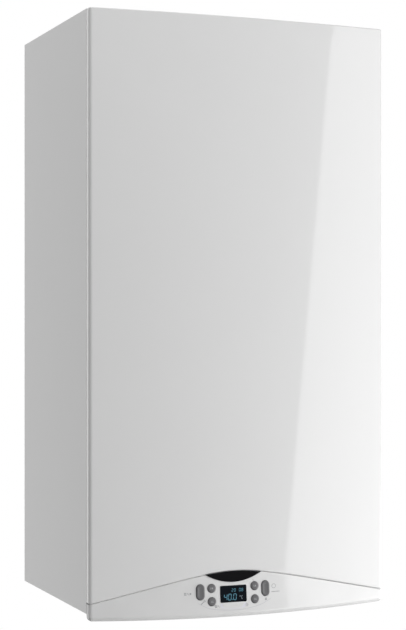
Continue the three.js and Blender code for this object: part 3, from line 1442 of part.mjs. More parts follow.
function flowPipe() {
  const top = portFoot(PORT_X) - PORT_LENGTH - FIT;
  const endX = -(BLOCK_OUTER_X - TOWER_WIDTH + PIPE_RADIUS + 4);
  const endY = BLOCK_BACK_Y - PIPE_RADIUS - 4;
  const foot = TOWER_TOP + FIT;
  const points = [
    [EXCHANGER_X - PORT_X, -PORT_DEPTH, top],
    [EXCHANGER_X - PORT_X, -PORT_DEPTH, top - (top - foot) * FLOW_BEND_HIGH],
    [endX, endY, top - (top - foot) * FLOW_BEND_LOW],
    [endX, endY, foot],
  ];
  return pipe(points, PIPE_RADIUS, PIPE_WALL);
}

function returnPipe() {
  const top = portFoot(PORT_X) - PORT_LENGTH - FIT;
  const start = PUMP_Z + PUMP_OUTLET_HEIGHT + FIT;
  const startX = PUMP_X - PUMP_OUTLET_X;
  const startY = -PUMP_FRONT + PUMP_DEPTH / 2;
  const points = [
    [startX, startY, start],
    [startX, startY, top - (top - start) * RETURN_BEND_LOW],
    [EXCHANGER_X + PORT_X, -PORT_DEPTH, top - (top - start) * RETURN_BEND_HIGH],
    [EXCHANGER_X + PORT_X, -PORT_DEPTH, top],
  ];
  return pipe(points, PIPE_RADIUS, PIPE_WALL);
}

// Two dished halves with a rolled rim, hollow inside, and the nipple of its pipe below.
function expansionVessel() {
  const half = VESSEL_THICKNESS / 2;
  const dish = (side, inset) => [
    [0, side * (half - inset)],
    [VESSEL_RADIUS * 0.7, side * (half - inset)],
    [VESSEL_RADIUS * 0.9, side * (half * 0.75 - inset)],
    [VESSEL_RADIUS - inset, side * half * 0.3],
  ];
  const rim = (side) => [
    [VESSEL_RADIUS, side * 3],
    [VESSEL_RADIUS + VESSEL_RIM, side * 2],
  ];
  const outside = [...dish(-1, 0), ...rim(-1), ...rim(1).reverse(), ...dish(1, 0).reverse()];
  const inside = [...dish(-1, VESSEL_WALL), ...dish(1, VESSEL_WALL).reverse()];
  const foot = -VESSEL_RADIUS - NIPPLE_LENGTH;
  const place = [0, NIPPLE_Y];
  const nipple = rod("z", NIPPLE_RADIUS, [foot, foot + 3 * NIPPLE_LENGTH], place, SMALL);
  return cut(
    join(turned("x", outside, [0, 0], FINE), nipple),
    turned("x", inside, [0, 0], FINE),
    rod("z", NIPPLE_RADIUS - VESSEL_WALL, [foot - 1, foot + 4 * NIPPLE_LENGTH], place, SMALL),
  );
}

function condensateTrap() {
  const neck = TRAP_OUTLET_RADIUS + 3;
  const outlet = TRAP_OUTLET_RADIUS;
  const profile = [
    [outlet - 2, TRAP_OUTLET_LOW],
    [outlet, TRAP_OUTLET_LOW],
    [outlet, TRAP_FOOT - 10],
    [TRAP_RADIUS - 8, TRAP_FOOT],
    [TRAP_RADIUS, TRAP_FOOT + 10],
    [TRAP_RADIUS, TRAP_TOP - 12],
    [TRAP_RADIUS + 3, TRAP_TOP - 12],
    [TRAP_RADIUS + 3, TRAP_TOP],
    [neck, TRAP_TOP],
    [neck, TRAP_TOP + TRAP_NECK],
    [neck - 3, TRAP_TOP + TRAP_NECK],
    [neck - 3, TRAP_TOP - 4],
    [TRAP_RADIUS - 3, TRAP_TOP - 4],
    [TRAP_RADIUS - 3, TRAP_FOOT + 10],
    [outlet - 2, TRAP_FOOT],
    [outlet - 2, TRAP_OUTLET_LOW],
  ];
  return turned("z", profile);
}

function condensateHose() {
  const start = EXCHANGER_Z - Math.sqrt(EXCHANGER_RADIUS ** 2 - DRAIN_X ** 2) - DRAIN_LENGTH - FIT;
  const end = TRAP_TOP + TRAP_NECK + FIT;
  const points = [
    [EXCHANGER_X + DRAIN_X, -DRAIN_DEPTH, start],
    [EXCHANGER_X + DRAIN_X, -DRAIN_DEPTH, start - (start - end) * HOSE_BEND],
    [TRAP_X, -TRAP_DEPTH, end + (start - end) * HOSE_BEND],
    [TRAP_X, -TRAP_DEPTH, end],
  ];
  return pipe(points, DRAIN_RADIUS, PIPE_WALL, { bend: 20, steps: 10 });
}

function hydraulics() {
  const [flowX, hotX, gasX, coldX, returnX] = tailPlaces();
  const blockFoot = BLOCK_FOOT - FIT;
  const pump = assembly(
    part("pump_housing", BLACK_IRON, pumpHousing()),
    part("pump_impeller", WHEEL_GREY, pumpImpeller()),
    part("pump_motor", CAST_ALUMINIUM, pumpMotor()),
  );
  pump.position.set(PUMP_X, 0, PUMP_Z);
  const diverterAt = [DIVERTER_X, -DIVERTER_DEPTH, 0];
  const safetyKnob = part("safety_valve_knob", RED_PLASTIC, turnKnob(VALVE_KNOB_RADIUS, VALVE_KNOB_LENGTH));
  safetyKnob.rotation.x = Math.PI / 2;
  safetyKnob.position.set(PUMP_X, BLOCK_FRONT_Y - VALVE_NECK - FIT, BLOCK_FOOT + 20);
  const fillingLength = FILLING_NECK_Z - FIT - FILLING_KNOB_LOW;
  return assembly(
    part("flow_tail", COPPER, tail(blockFoot), { at: [flowX, -TAIL_DEPTH, 0] }),
    part("hot_water_tail", COPPER, tail(blockFoot), { at: [hotX, -TAIL_DEPTH, 0] }),
    part("gas_tail", COPPER, tail(GAS_VALVE_Z), { at: [gasX, -TAIL_DEPTH, 0] }),
    part("cold_water_tail", COPPER, tail(blockFoot), { at: [coldX, -TAIL_DEPTH, 0] }),
    part("return_tail", COPPER, tail(blockFoot), { at: [returnX, -TAIL_DEPTH, 0] }),
    part("flow_block", COMPOSITE, flowBlock()),
    part("return_block", COMPOSITE, returnBlock()),
    part("diverter_spindle", STAINLESS, diverterSpindle(), { at: diverterAt }),
    part("diverter_motor", BLACK_PLASTIC, diverterMotor(), { at: diverterAt }),
    part("flow_turbine", BLUE_PLASTIC, flowTurbine(), { at: [coldX, -TAIL_DEPTH, 0] }),
    safetyKnob,
    part("filling_tap_knob", BLUE_PLASTIC, turnKnob(FILLING_KNOB_RADIUS, fillingLength), {
      at: [FILLING_X, -FILLING_DEPTH, FILLING_KNOB_LOW],
    }),
    pump,
    part("plate_heat_exchanger", STAINLESS, plateHeatExchanger()),
    part("gas_valve", CAST_ALUMINIUM, gasValve()),
    part("gas_pipe", COPPER, gasPipe()),
    part("flow_pipe", COPPER, flowPipe()),
    part("return_pipe", COPPER, returnPipe()),
    part("expansion_vessel", RED_PAINT, expansionVessel(), { at: [VESSEL_X, -VESSEL_DEPTH, VESSEL_Z] }),
    part("condensate_trap", CLEAR_GREY, condensateTrap(), { at: [TRAP_X, -TRAP_DEPTH, 0] }),
    part("condensate_hose", RUBBER, condensateHose()),
  );
}

// ---------------------------------------------------------------------------------------------
// Electronics box behind the front panel

function mainBoardBox() {
  const half = BOX_WIDTH / 2;
  const back = -BOX_BACK;
  const front = back - BOX_DEPTH;
  const high = BOX_FOOT + BOX_HEIGHT;
  const inside = block(
    [-half + BOX_WALL, half - BOX_WALL],
    [front - 1, back - BOX_WALL],
    [BOX_FOOT + BOX_WALL, high - BOX_WALL],
  );
  const postSpan = [back - BOX_WALL - BOX_POST, back - 1];
  const posts = boardPosts().map((place) => rod("y", BOX_POST_RADIUS, postSpan, place, SMALL));
  return join(cut(block([-half, half], [front, back], [BOX_FOOT, high]), inside), ...posts);
}

function boardPosts() {
  const inset = BOX_WALL + 2 * BOARD_MARGIN;
  const x = BOX_WIDTH / 2 - inset;
  return MIRROR.flatMap((side) => [
    [side * x, BOX_FOOT + inset],
    [side * x, BOX_FOOT + BOX_HEIGHT - inset],
  ]);
}

// The circuit board with its transformer, relays, capacitors and sockets.
function mainBoard() {
  const half = BOX_WIDTH / 2 - BOX_WALL - BOARD_MARGIN;
  const rear = -BOX_BACK - BOX_WALL - BOX_POST - FIT;
  const face = rear - BOARD_THICKNESS;
  const low = BOX_FOOT + BOX_WALL + BOARD_MARGIN;
  const high = BOX_FOOT + BOX_HEIGHT - BOX_WALL - BOARD_MARGIN;
  const stands = (x, width, z, height, depth) =>
    block(span(x, width), [face - depth, face + 0.5], [z, z + height]);
  const row = (count) => Array.from({ length: count }, (_, i) => i);
  const transformerX = -half + TRANSFORMER / 2 + BOARD_MARGIN;
  const relayX = transformerX + TRANSFORMER / 2 + RELAY_PITCH / 2 + BOARD_MARGIN;
  const upper = low + BOARD_MARGIN + SOCKET_HEIGHT + BOARD_MARGIN;
  const socketX = -half + SOCKET_PITCH / 2 + BOARD_MARGIN;
  const capacitorX = half - CAPACITOR_RADIUS - 2 * BOARD_MARGIN;
  const capacitorZ = high - CAPACITOR_RADIUS - 2 * BOARD_MARGIN;
  const parts = [
    stands(transformerX, TRANSFORMER, upper, TRANSFORMER, TRANSFORMER / 2),
    ...row(RELAYS).map((i) =>
      stands(relayX + i * RELAY_PITCH, RELAY_WIDTH, upper, RELAY_HEIGHT, RELAY_DEPTH),
    ),
    ...row(SOCKETS).map((i) =>
      stands(socketX + i * SOCKET_PITCH, SOCKET_WIDTH, low + BOARD_MARGIN / 2, SOCKET_HEIGHT, SOCKET_HEIGHT),
    ),
    ...row(CAPACITORS).map((i) => {
      const place = [capacitorX - i * 3 * CAPACITOR_RADIUS, capacitorZ];
      return rod("y", CAPACITOR_RADIUS, [face - CAPACITOR_LENGTH, face + 0.5], place, SMALL);
    }),
    stands(half - PROCESSOR - BOX_POST, PROCESSOR, upper, PROCESSOR / 2, PROCESSOR / 8),
  ];
  return join(block([-half, half], [face, rear], [low, high]), ...parts);
}

function mainBoardLid() {
  const half = BOX_WIDTH / 2;
  const back = -BOX_BACK - BOX_DEPTH - FIT;
  return block([-half, half], [back - BOX_WALL, back], [BOX_FOOT, BOX_FOOT + BOX_HEIGHT]);
}

function electronics() {
  return assembly(
    part("main_board_box", BLACK_PLASTIC, mainBoardBox()),
    part("main_board", CIRCUIT_GREEN, mainBoard()),
    part("main_board_lid", BLACK_PLASTIC, mainBoardLid()),
  );
}

// ---------------------------------------------------------------------------------------------
// Control panel: the fascia, and what lies in the plane of its face

// The plane that touches the fascia's face at the middle of the display.
function controlPlane() {
  const top = seamHeight(CONTROL_X);
  const low = lipBottom(CONTROL_X) + LIP_RADIUS;
  const lean = Math.atan2(FASCIA_BULGE * flatness(CONTROL_X), top - low);
  const group = new THREE.Group();
  group.rotation.order = "ZXY";
  group.rotation.set(-lean, 0, Math.asin(CONTROL_X / CROWN_RADIUS));
  group.position.set(CONTROL_X, fasciaFaceY(CONTROL_X, CONTROL_Z), CONTROL_Z);
  group.updateMatrix();
  return group;
}

const PLANE = controlPlane();

// How far the curved face lies behind the plane at a place in it.
function faceDepth(u, w) {
  const x = CONTROL_X + u;
  const z = CONTROL_Z + w * Math.cos(PLANE.rotation.x);
  const place = new THREE.Vector3(x, fasciaFaceY(x, z), z);
  return place.applyMatrix4(PLANE.matrix.clone().invert()).y;
}

function buttonPlaces() {
  return [
    ["upper_left_button", -BUTTON_X, BUTTON_Z],
    ["lower_left_button", -BUTTON_X, -BUTTON_Z],
    ["upper_right_button", BUTTON_X, BUTTON_Z],
    ["lower_right_button", BUTTON_X, -BUTTON_Z],
  ];
}

function rockerPlaces() {
  return [
    ["left_rocker", -ROCKER_X, ROCKER_Z],
    ["right_rocker", ROCKER_X, ROCKER_Z],
  ];
}

function stadium(width, height, sides = 8) {
  const radius = width / 2;
  const rise = height / 2 - radius;
  return [1, -1].flatMap((up) =>
    Array.from({ length: sides + 1 }, (_, i) => {
      const angle = (Math.PI * i) / sides + (up > 0 ? 0 : Math.PI);
      return [radius * Math.cos(angle), up * rise + radius * Math.sin(angle)];
    }),
  );
}

// The badge's outline in the plane: its upper edge follows the seam, and its lower edge is an arc.
function badgeOutline(grow) {
  const [from, to] = span(BADGE_X, BADGE_WIDTH + 2 * grow);
  const steps = 12;
  const flat = ([x, z]) => [x - CONTROL_X, (z - CONTROL_Z) / Math.cos(PLANE.rotation.x)];
  const xs = Array.from({ length: steps + 1 }, (_, i) => from + ((to - from) * i) / steps);
  const low = xs.map((x) => {
    const reach = (2 * (x - BADGE_X)) / (to - from);
    return [x, seamHeight(x) - SEAM_GAP / 2 - (BADGE_DROP + grow) * (1 - reach ** 2)];
  });
  const high = xs.map((x) => [x, seamHeight(x) - SEAM_GAP / 2 + 2 * grow]);
  return [...low, ...high.reverse().slice(1, -1)].map(flat);
}

function fasciaSkin() {
  return loft(
    frontStations(20, 3).map((station) => {
      const { x } = station;
      const top = seamHeight(x) - SEAM_GAP / 2;
      const low = lipBottom(x);
      const bend = low + LIP_RADIUS;
      const [mid, t, r] = [(top + bend) / 2, FASCIA_WALL, LIP_RADIUS];
      const [b, half] = [fasciaBulge(x, bend), fasciaBulge(x, mid)];
      const turn = (radius, angle) => [b - r + radius * Math.cos(angle), bend - radius * Math.sin(angle)];
      const outline = [
        [0, top],
        [half, mid],
        ...[0, 1, 2, 3].map((i) => turn(r, (Math.PI / 6) * i)),
        [b - r, low + t],
        turn(r - t, Math.PI / 4),
        [b - t, bend],
        [half - t, mid],
        [-t, top],
      ];
      return { outline, place: ([out, z]) => [...offsetPoint(station, out), z] };
    }),
  );
}

function fasciaTray() {
  const inset = (FASCIA_WALL * 3) / 4;
  const front = frontStations(10, 2).map((station) => {
    const bulge = fasciaBulge(station.x, TRAY_RISE);
    return offsetPoint(station, bulge - inset);
  });
  const sideX = HALF - TRAY_INSET;
  const returnY = FRONT_Y + PANEL_RETURN;
  const backY = FRONT_Y + TRAY_BACK;
  const outline = [...front, [sideX, returnY], [sideX, backY], [-sideX, backY], [-sideX, returnY]];
  return prism("z", outline, [TRAY_RISE, TRAY_RISE + FASCIA_WALL]);
}

function fasciaEar(side) {
  const x = span(side * FASCIA_EAR_X, FASCIA_EAR_WIDTH);
  const foot = FRONT_Y + TRAY_BACK - 2 * HINGE_EYE_RADIUS;
  return cut(
    join(
      rod("x", HINGE_EYE_RADIUS, x, [HINGE_Y, HINGE_HEIGHT]),
      block(x, [foot, HINGE_Y], [TRAY_RISE, HINGE_HEIGHT + HINGE_EYE_RADIUS / 2]),
    ),
    rod("x", HINGE_PIN_RADIUS + FIT, [x[0] - 1, x[1] + 1], [HINGE_Y, HINGE_HEIGHT], SMALL),
  );
}

function rockerLug(u, w, side) {
  const near = ROCKER_WIDTH / 2 + KEY_GAP + 0.1;
  const x = side < 0 ? [u - near - ROCKER_LUG_WIDTH, u - near] : [u + near, u + near + ROCKER_LUG_WIDTH];
  const face = faceDepth(u, w);
  const pivot = face + ROCKER_PIVOT_DEPTH;
  const slotHalf = ROCKER_PIN_RADIUS + FIT;
  return cut(
    block(x, [face + FASCIA_WALL - 1, pivot + 2], span(w, ROCKER_LUG_HEIGHT)),
    block([x[0] - 1, x[1] + 1], [pivot - slotHalf, pivot + 3], span(w, 2 * slotHalf)),
  );
}

function controlFascia() {
  const deep = [-2 * FASCIA_WALL, FASCIA_WALL * 2.6];
  const inPlane = (geometry) => geometry.applyMatrix4(PLANE.matrix);
  const windowHole = block(
    span(0, WINDOW_WIDTH + 2 * FIT),
    deep,
    span(0, WINDOW_HEIGHT + 2 * FIT),
  );
  const buttonHoles = buttonPlaces().map(([, u, w]) => rod("y", BUTTON_RADIUS + KEY_GAP, deep, [u, w]));
  const rockerHoles = rockerPlaces().map(([, u, w]) => {
    const outline = stadium(ROCKER_WIDTH + 2 * KEY_GAP, ROCKER_HEIGHT + 2 * KEY_GAP);
    return prism("y", outline, deep).translate(u, 0, w);
  });
  const recess = prism("y", badgeOutline(FIT), [deep[0], BADGE_THICKNESS - BADGE_PROUD + FIT]);
  const lugs = rockerPlaces().flatMap(([, u, w]) => MIRROR.map((side) => rockerLug(u, w, side)));
  return cut(
    join(fasciaSkin(), fasciaTray(), ...bothSides(fasciaEar), ...lugs.map(inPlane)),
    ...[windowHole, ...buttonHoles, ...rockerHoles, recess].map(inPlane),
  );
}

function roundButton(face) {
  const behind = face + FASCIA_WALL + BUTTON_FLANGE_GAP;
  const flange = behind + BUTTON_FLANGE_THICKNESS;
  return join(
    rod("y", BUTTON_RADIUS, [face - KEY_PROUD, flange - 0.1]),
    rod("y", BUTTON_RADIUS + BUTTON_FLANGE, [behind, flange]),
    rod("y", BUTTON_STEM_RADIUS, [flange - 0.5, flange + BUTTON_STEM], [0, 0], SMALL),
  );
}

function rockerKey(face) {
  const pivot = face + ROCKER_PIVOT_DEPTH;
  const reach = ROCKER_WIDTH / 2 + ROCKER_PIN_LENGTH;
  return join(
    prism("y", stadium(ROCKER_WIDTH, ROCKER_HEIGHT), [face - KEY_PROUD, face + ROCKER_BACK]),
    rod("x", ROCKER_PIN_RADIUS, [-reach, reach], [pivot, 0], SMALL),
  );
}

function displayWindow() {
  const rim = [FASCIA_WALL + FIT, FASCIA_WALL + FIT + WINDOW_RIM_THICKNESS];
  return join(
    block(span(0, WINDOW_WIDTH), [-0.1, rim[0] + 0.1], span(0, WINDOW_HEIGHT)),
    block(span(0, WINDOW_WIDTH + 2 * WINDOW_RIM), rim, span(0, WINDOW_HEIGHT + 2 * WINDOW_RIM)),
  );
}

function badgePlate() {
  return prism("y", badgeOutline(0), [-BADGE_PROUD, BADGE_THICKNESS - BADGE_PROUD]);
}

// The circuit board behind the keys, with its display and a switch under each key end.
function displayBoard() {
  const lcdFront = FASCIA_WALL + WINDOW_RIM_THICKNESS + 2 * FIT;
  const into = BOARD_DEPTH + 0.5;
  const pad = (u, w, top) => block(span(u, SWITCH_SIZE), [top, into], span(w, SWITCH_SIZE));
  const buttonSwitches = buttonPlaces().map(([, u, w]) => {
    const stemEnd = faceDepth(u, w) + FASCIA_WALL + BUTTON_FLANGE_GAP + BUTTON_FLANGE_THICKNESS + BUTTON_STEM;
    return pad(u, w, stemEnd + BUTTON_TRAVEL + FIT);
  });
  const rockerSwitches = rockerPlaces().flatMap(([, u, w]) => {
    const top = faceDepth(u, w) + ROCKER_BACK + ROCKER_SWITCH_GAP;
    return MIRROR.map((end) => pad(u, w + end * ROCKER_SWITCH_Z, top));
  });
  return join(
    block(span(0, BOARD_WIDTH), [BOARD_DEPTH, BOARD_DEPTH + BOARD_THICKNESS], [BOARD_LOW, BOARD_HIGH]),
    block(span(0, LCD_WIDTH), [lcdFront, into], span(0, LCD_HEIGHT)),
    ...buttonSwitches,
    ...rockerSwitches,
  );
}

function controlRearCover() {
  const corners = MIRROR.flatMap((side) => [COVER_LOW, COVER_HIGH].map((w) => [(side * COVER_WIDTH) / 2, w]));
  const front = Math.max(...corners.map(([u, w]) => faceDepth(u, w))) + FASCIA_WALL + 2 * FIT;
  const outer = block(span(0, COVER_WIDTH), [front, COVER_BACK], [COVER_LOW, COVER_HIGH]);
  const inner = block(
    span(0, COVER_WIDTH - 2 * COVER_WALL),
    [front - 1, COVER_BACK - COVER_WALL],
    [COVER_LOW + COVER_WALL, COVER_HIGH - COVER_WALL],
  );
  const postFront = BOARD_DEPTH + BOARD_THICKNESS + FIT;
  const posts = MIRROR.flatMap((side) =>
    [BOARD_LOW + 4, BOARD_HIGH - 4].map((w) =>
      rod("y", 2.5, [postFront, COVER_BACK - 1], [side * (BOARD_WIDTH / 2 - 4), w], SMALL),
    ),
  );
  return join(cut(outer, inner), ...posts);
}

function controlPanel() {
  const key = (make) => ([name, u, w]) => part(name, KEY_GREY, make(faceDepth(u, w)), { at: [u, 0, w] });
  PLANE.add(
    part("badge_plate", GLOSS_BLACK, badgePlate()),
    part("display_window", GLOSS_BLACK, displayWindow()),
    part("display_board", CIRCUIT_GREEN, displayBoard()),
    part("control_rear_cover", BLACK_PLASTIC, controlRearCover()),
    ...buttonPlaces().map(key(roundButton)),
    ...rockerPlaces().map(key(rockerKey)),
  );
  return assembly(part("control_fascia", WHITE_PLASTIC, controlFascia()), PLANE);
}

const boiler = assembly(casing(), combustion(), hydraulics(), electronics(), controlPanel());
boiler.name = "combi_boiler";
boiler.position.z = -HANGING_HEIGHT;

export default boiler;
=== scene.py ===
"""A wall-hung combi boiler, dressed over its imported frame.

Lengths inside the shape functions are millimetres in the casing's own frame: x to the right, y into the
wall, z up from the casing's lower front corners. frame_metres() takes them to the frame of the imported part.
"""

import json
import math

import bpy
import numpy as np
from bpy.props import FloatProperty, FloatVectorProperty, IntProperty, PointerProperty
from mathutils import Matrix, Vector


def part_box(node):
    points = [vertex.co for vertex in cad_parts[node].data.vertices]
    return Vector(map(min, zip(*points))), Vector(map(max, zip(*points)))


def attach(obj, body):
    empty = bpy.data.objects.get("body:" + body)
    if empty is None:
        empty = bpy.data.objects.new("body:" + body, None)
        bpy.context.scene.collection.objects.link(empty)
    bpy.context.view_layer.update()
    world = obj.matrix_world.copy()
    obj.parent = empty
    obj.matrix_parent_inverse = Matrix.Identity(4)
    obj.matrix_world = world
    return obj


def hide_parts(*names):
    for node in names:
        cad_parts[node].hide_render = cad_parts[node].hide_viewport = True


bl_info = {
    "name": "Combi Boiler",
    "version": (1, 0, 0),
    "blender": (4, 5, 0),
    "location": "3D View > Sidebar > Boiler",
    "description": "Dresses a wall-hung combi boiler: casing, control panel and what is inside",
    "category": "Add Mesh",
}

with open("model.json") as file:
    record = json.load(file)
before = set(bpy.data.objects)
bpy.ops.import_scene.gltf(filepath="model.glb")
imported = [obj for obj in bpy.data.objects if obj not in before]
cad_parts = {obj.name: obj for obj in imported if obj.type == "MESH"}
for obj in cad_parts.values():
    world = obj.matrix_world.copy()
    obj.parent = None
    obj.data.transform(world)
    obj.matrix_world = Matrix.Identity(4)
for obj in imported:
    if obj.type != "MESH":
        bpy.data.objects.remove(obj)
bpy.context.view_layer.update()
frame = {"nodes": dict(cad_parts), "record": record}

# The casing and its front surface, in millimetres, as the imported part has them, except that the
# seam lies a little lower and narrower, where the photograph shows it
HANGING_HEIGHT = 690.0
HALF = 200.0
CASE_HEIGHT = 745.0
FRONT_Y = -305.0
CROWN = 9.0
CORNER = 4.0
RETURN = 11.0
FLAT_HALF = HALF - CORNER
CROWN_RADIUS = CORNER + (FLAT_HALF**2 + CROWN**2) / (2 * CROWN)
CROWN_ANGLE = math.asin(FLAT_HALF / (CROWN_RADIUS - CORNER))
SEAM_CREST, SEAM_AXIS_X, SEAM_SLOPE, SEAM_ROUNDING = 52.9, -12.0, 0.218, 45.0
SEAM_GAP = 0.35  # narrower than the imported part's 1.2, to match the thin line in the photograph
FASCIA_WALL, FASCIA_BULGE, FASCIA_DROOP, LIP_RADIUS = 2.5, 5.0, 3.6, 4.0
LIP_HEIGHT = 6.0  # the visible lip turns under over more height than depth
CONTROL_X, CONTROL_Z = -15.5, 25.0
HINGE_Y, HINGE_Z = -266.0, 6.0

# Inside the casing
EXCHANGER = (0.0, 575.0)
DOOR_BACK_Y, DOOR_FRONT_Y = -215.3, -227.3
FAN = (38.0, 395.0)
PUMP = (134.0, 195.0)
TAILS = {"flow": -134.0, "hot_water": -67.0, "gas": 0.0, "cold_water": 67.0, "return": 134.0}
TAIL_Y = -95.0


# ---------------------------------------------------------------------------------------------
# Shapes


class Shell:
    """Points in casing millimetres and the faces between them."""

    def __init__(self, points, faces):
        self.points = np.asarray(points, float).reshape(-1, 3)
        self.faces = [list(face) for face in faces]

    def __add__(self, other):
        shift = len(self.points)
        faces = self.faces + [[i + shift for i in face] for face in other.faces]
        return Shell(np.vstack([self.points, other.points]), faces)

    def __radd__(self, other):
        return self if other == 0 else other + self

    def volume(self):
        """Sum over the fan triangles of each face of (a x b) . c / 6."""
        fans = [(f[0], f[i], f[i + 1]) for f in self.faces for i in range(1, len(f) - 1)]
        a, b, c = (self.points[np.array(fans)[:, k]] for k in range(3))
        return float(np.einsum("ij,ij->i", np.cross(a, b), c).sum() / 6)

    def facing_out(self):
        if self.volume() < 0:
            self.faces = [face[::-1] for face in self.faces]
        return self

    def moved(self, x=0.0, y=0.0, z=0.0):
        return Shell(self.points + (x, y, z), self.faces)

    def spun(self, axis, degrees, centre):
        """Turned by a right-handed angle about an axis through a point: p' = c + R (p - c)."""
        k = "xyz".index(axis)
        i, j = (k + 1) % 3, (k + 2) % 3
        turn = np.eye(3)
        c, s = math.cos(math.radians(degrees)), math.sin(math.radians(degrees))
        turn[i, i], turn[i, j], turn[j, i], turn[j, j] = c, -s, s, c
        return Shell((self.points - centre) @ turn.T + centre, self.faces)


def lattice(rows, columns, around_rows=False, around_columns=False):
    """Quads between neighbours of a rows x columns grid; a wrapped side joins its last to its first."""
    i = np.arange(rows if around_rows else rows - 1)[:, None]
    j = np.arange(columns if around_columns else columns - 1)[None, :]
    across, down = (j + 1) % columns, (i + 1) % rows
    corners = (i * columns + j, i * columns + across, down * columns + across, down * columns + j)
    return np.stack(np.broadcast_arrays(*corners), -1).reshape(-1, 4).tolist()


def laid(points, axis, centre=(0.0, 0.0)):
    """Points drawn along z, laid along the named axis through a centre in the plane across it."""
    p, (a, b) = np.asarray(points, float).reshape(-1, 3), centre
    if axis == "x":
        return np.column_stack([p[:, 2], p[:, 0] + a, p[:, 1] + b])
    if axis == "y":
        return np.column_stack([p[:, 0] + a, p[:, 2], p[:, 1] + b])
    return np.column_stack([p[:, 0] + a, p[:, 1] + b, p[:, 2]])


def turned(profile, axis="z", centre=(0.0, 0.0), sides=48, ring=False):
    """A (radius, height) profile turned about an axis: (r cos a, r sin a, h) for a round the circle.

    A ring's profile closes on itself. Any other starts and ends on the axis, in a pole.
    """
    profile = np.asarray(profile, float)
    rows = profile if ring else profile[1:-1]
    angle = np.linspace(0, 2 * math.pi, sides, endpoint=False)
    r, h = rows[:, :1], rows[:, 1:]
    grid = np.stack([r * np.cos(angle), r * np.sin(angle), h + 0 * angle], -1).reshape(-1, 3)
    faces = lattice(len(rows), sides, ring, True)
    if not ring:
        first, last = len(grid), len(grid) + 1
        j = np.arange(sides)
        near, far = (j + 1) % sides, (len(rows) - 1) * sides + j
        faces += np.column_stack([near, j, np.full(sides, first)]).tolist()
        faces += np.column_stack([far, far - j + near, np.full(sides, last)]).tolist()
        grid = np.vstack([grid, [0, 0, profile[0, 1]], [0, 0, profile[-1, 1]]])
    return Shell(laid(grid, axis, centre), faces).facing_out()


def softened(corners, radius=1.0, steps=3, ring=False):
    """A profile whose inner corners are rounded by quadratic curves: (1-t)^2 a + 2t(1-t) c + t^2 b."""
    corners = np.asarray(corners, float)
    count = len(corners)
    before, after = np.roll(corners, 1, 0), np.roll(corners, -1, 0)
    to_a, to_b = before - corners, after - corners
    length_a = np.linalg.norm(to_a, axis=1, keepdims=True).clip(1e-9)
    length_b = np.linalg.norm(to_b, axis=1, keepdims=True).clip(1e-9)
    a = corners + to_a / length_a * np.minimum(radius, length_a * 0.45)
    b = corners + to_b / length_b * np.minimum(radius, length_b * 0.45)
    t = np.linspace(0, 1, steps + 1)[None, :, None]
    rounded = (1 - t) ** 2 * a[:, None] + 2 * t * (1 - t) * corners[:, None] + t**2 * b[:, None]
    if ring:
        return rounded.reshape(-1, corners.shape[1])
    inner = rounded[1 : count - 1].reshape(-1, corners.shape[1])
    return np.vstack([corners[:1], inner, corners[-1:]])


def rod(radius, span, axis="z", centre=(0.0, 0.0), edge=0.6, sides=32):
    """A round bar with softened rims: the profile (0, low), (r, low), (r, high), (0, high), turned."""
    low, high = span
    edge = min(edge, (high - low) / 3, radius / 3)
    profile = softened([(0, low), (radius, low), (radius, high), (0, high)], edge, 2)
    return turned(profile, axis, centre, sides)


def pipe_ring(outer, inner, span, axis="z", centre=(0.0, 0.0), edge=0.4, sides=48):
    """A straight tube: a rectangle from inner to outer radius with softened corners, turned."""
    low, high = span
    corners = [(inner, low), (outer, low), (outer, high), (inner, high)]
    profile = softened(corners, min(edge, (outer - inner) / 3), 2, ring=True)
    return turned(profile, axis, centre, sides, ring=True)


def extruded(outline, span, axis="z"):
    """An outline in the plane across an axis, carried from one height to another, with flat ends."""
    outline = np.asarray(outline, float)
    count = len(outline)
    grid = np.vstack([np.column_stack([outline, np.full(count, h)]) for h in span])
    faces = lattice(2, count, False, True) + [list(range(count)), list(range(count, 2 * count))[::-1]]
    return Shell(laid(grid, axis), faces).facing_out()


def cuboid(x, y, z):
    """A box between two limits on each axis."""
    return extruded([(x[0], y[0]), (x[1], y[0]), (x[1], y[1]), (x[0], y[1])], z)


def around(radius, sides, centre=(0.0, 0.0), start=0.0):
    """Points of a regular polygon: c + r (cos a, sin a)."""
    angle = start + np.linspace(0, 2 * math.pi, sides, endpoint=False)
    return np.column_stack([centre[0] + radius * np.cos(angle), centre[1] + radius * np.sin(angle)])


def hexagon(across, span, axis="z", centre=(0.0, 0.0)):
    return extruded(around(across / math.sqrt(3), 6, centre), span, axis)


def stadium(width, height, steps=12, centre=(0.0, 0.0)):
    """Two half circles of the width, joined by straight sides up to the height."""
    radius = width / 2
    angle = np.linspace(0, math.pi, steps + 1)
    top = np.column_stack([radius * np.cos(angle), radius * np.sin(angle) + height / 2 - radius])
    return np.vstack([top, -top]) + centre


def rounded_box(x, z, radius, steps=4):
    """A rectangle with quarter-circle corners."""
    middle = np.array([(x[0] + x[1]) / 2, (z[0] + z[1]) / 2])
    half = np.array([(x[1] - x[0]) / 2, (z[1] - z[0]) / 2]) - radius
    angle = np.linspace(0, math.pi / 2, steps + 1)
    arc = np.column_stack([np.cos(angle), np.sin(angle)]) * radius
    quarters = [(1, 1, arc), (-1, 1, arc[::-1] * (-1, 1)), (-1, -1, -arc), (1, -1, arc[::-1] * (1, -1))]
    return np.vstack([middle + half * (a, b) + points for a, b, points in quarters])


def bent(corners, bend, steps=8):
    """Straight runs between the corners, joined by quadratic curves that start and end a bend away."""
    return softened(corners, bend, steps)


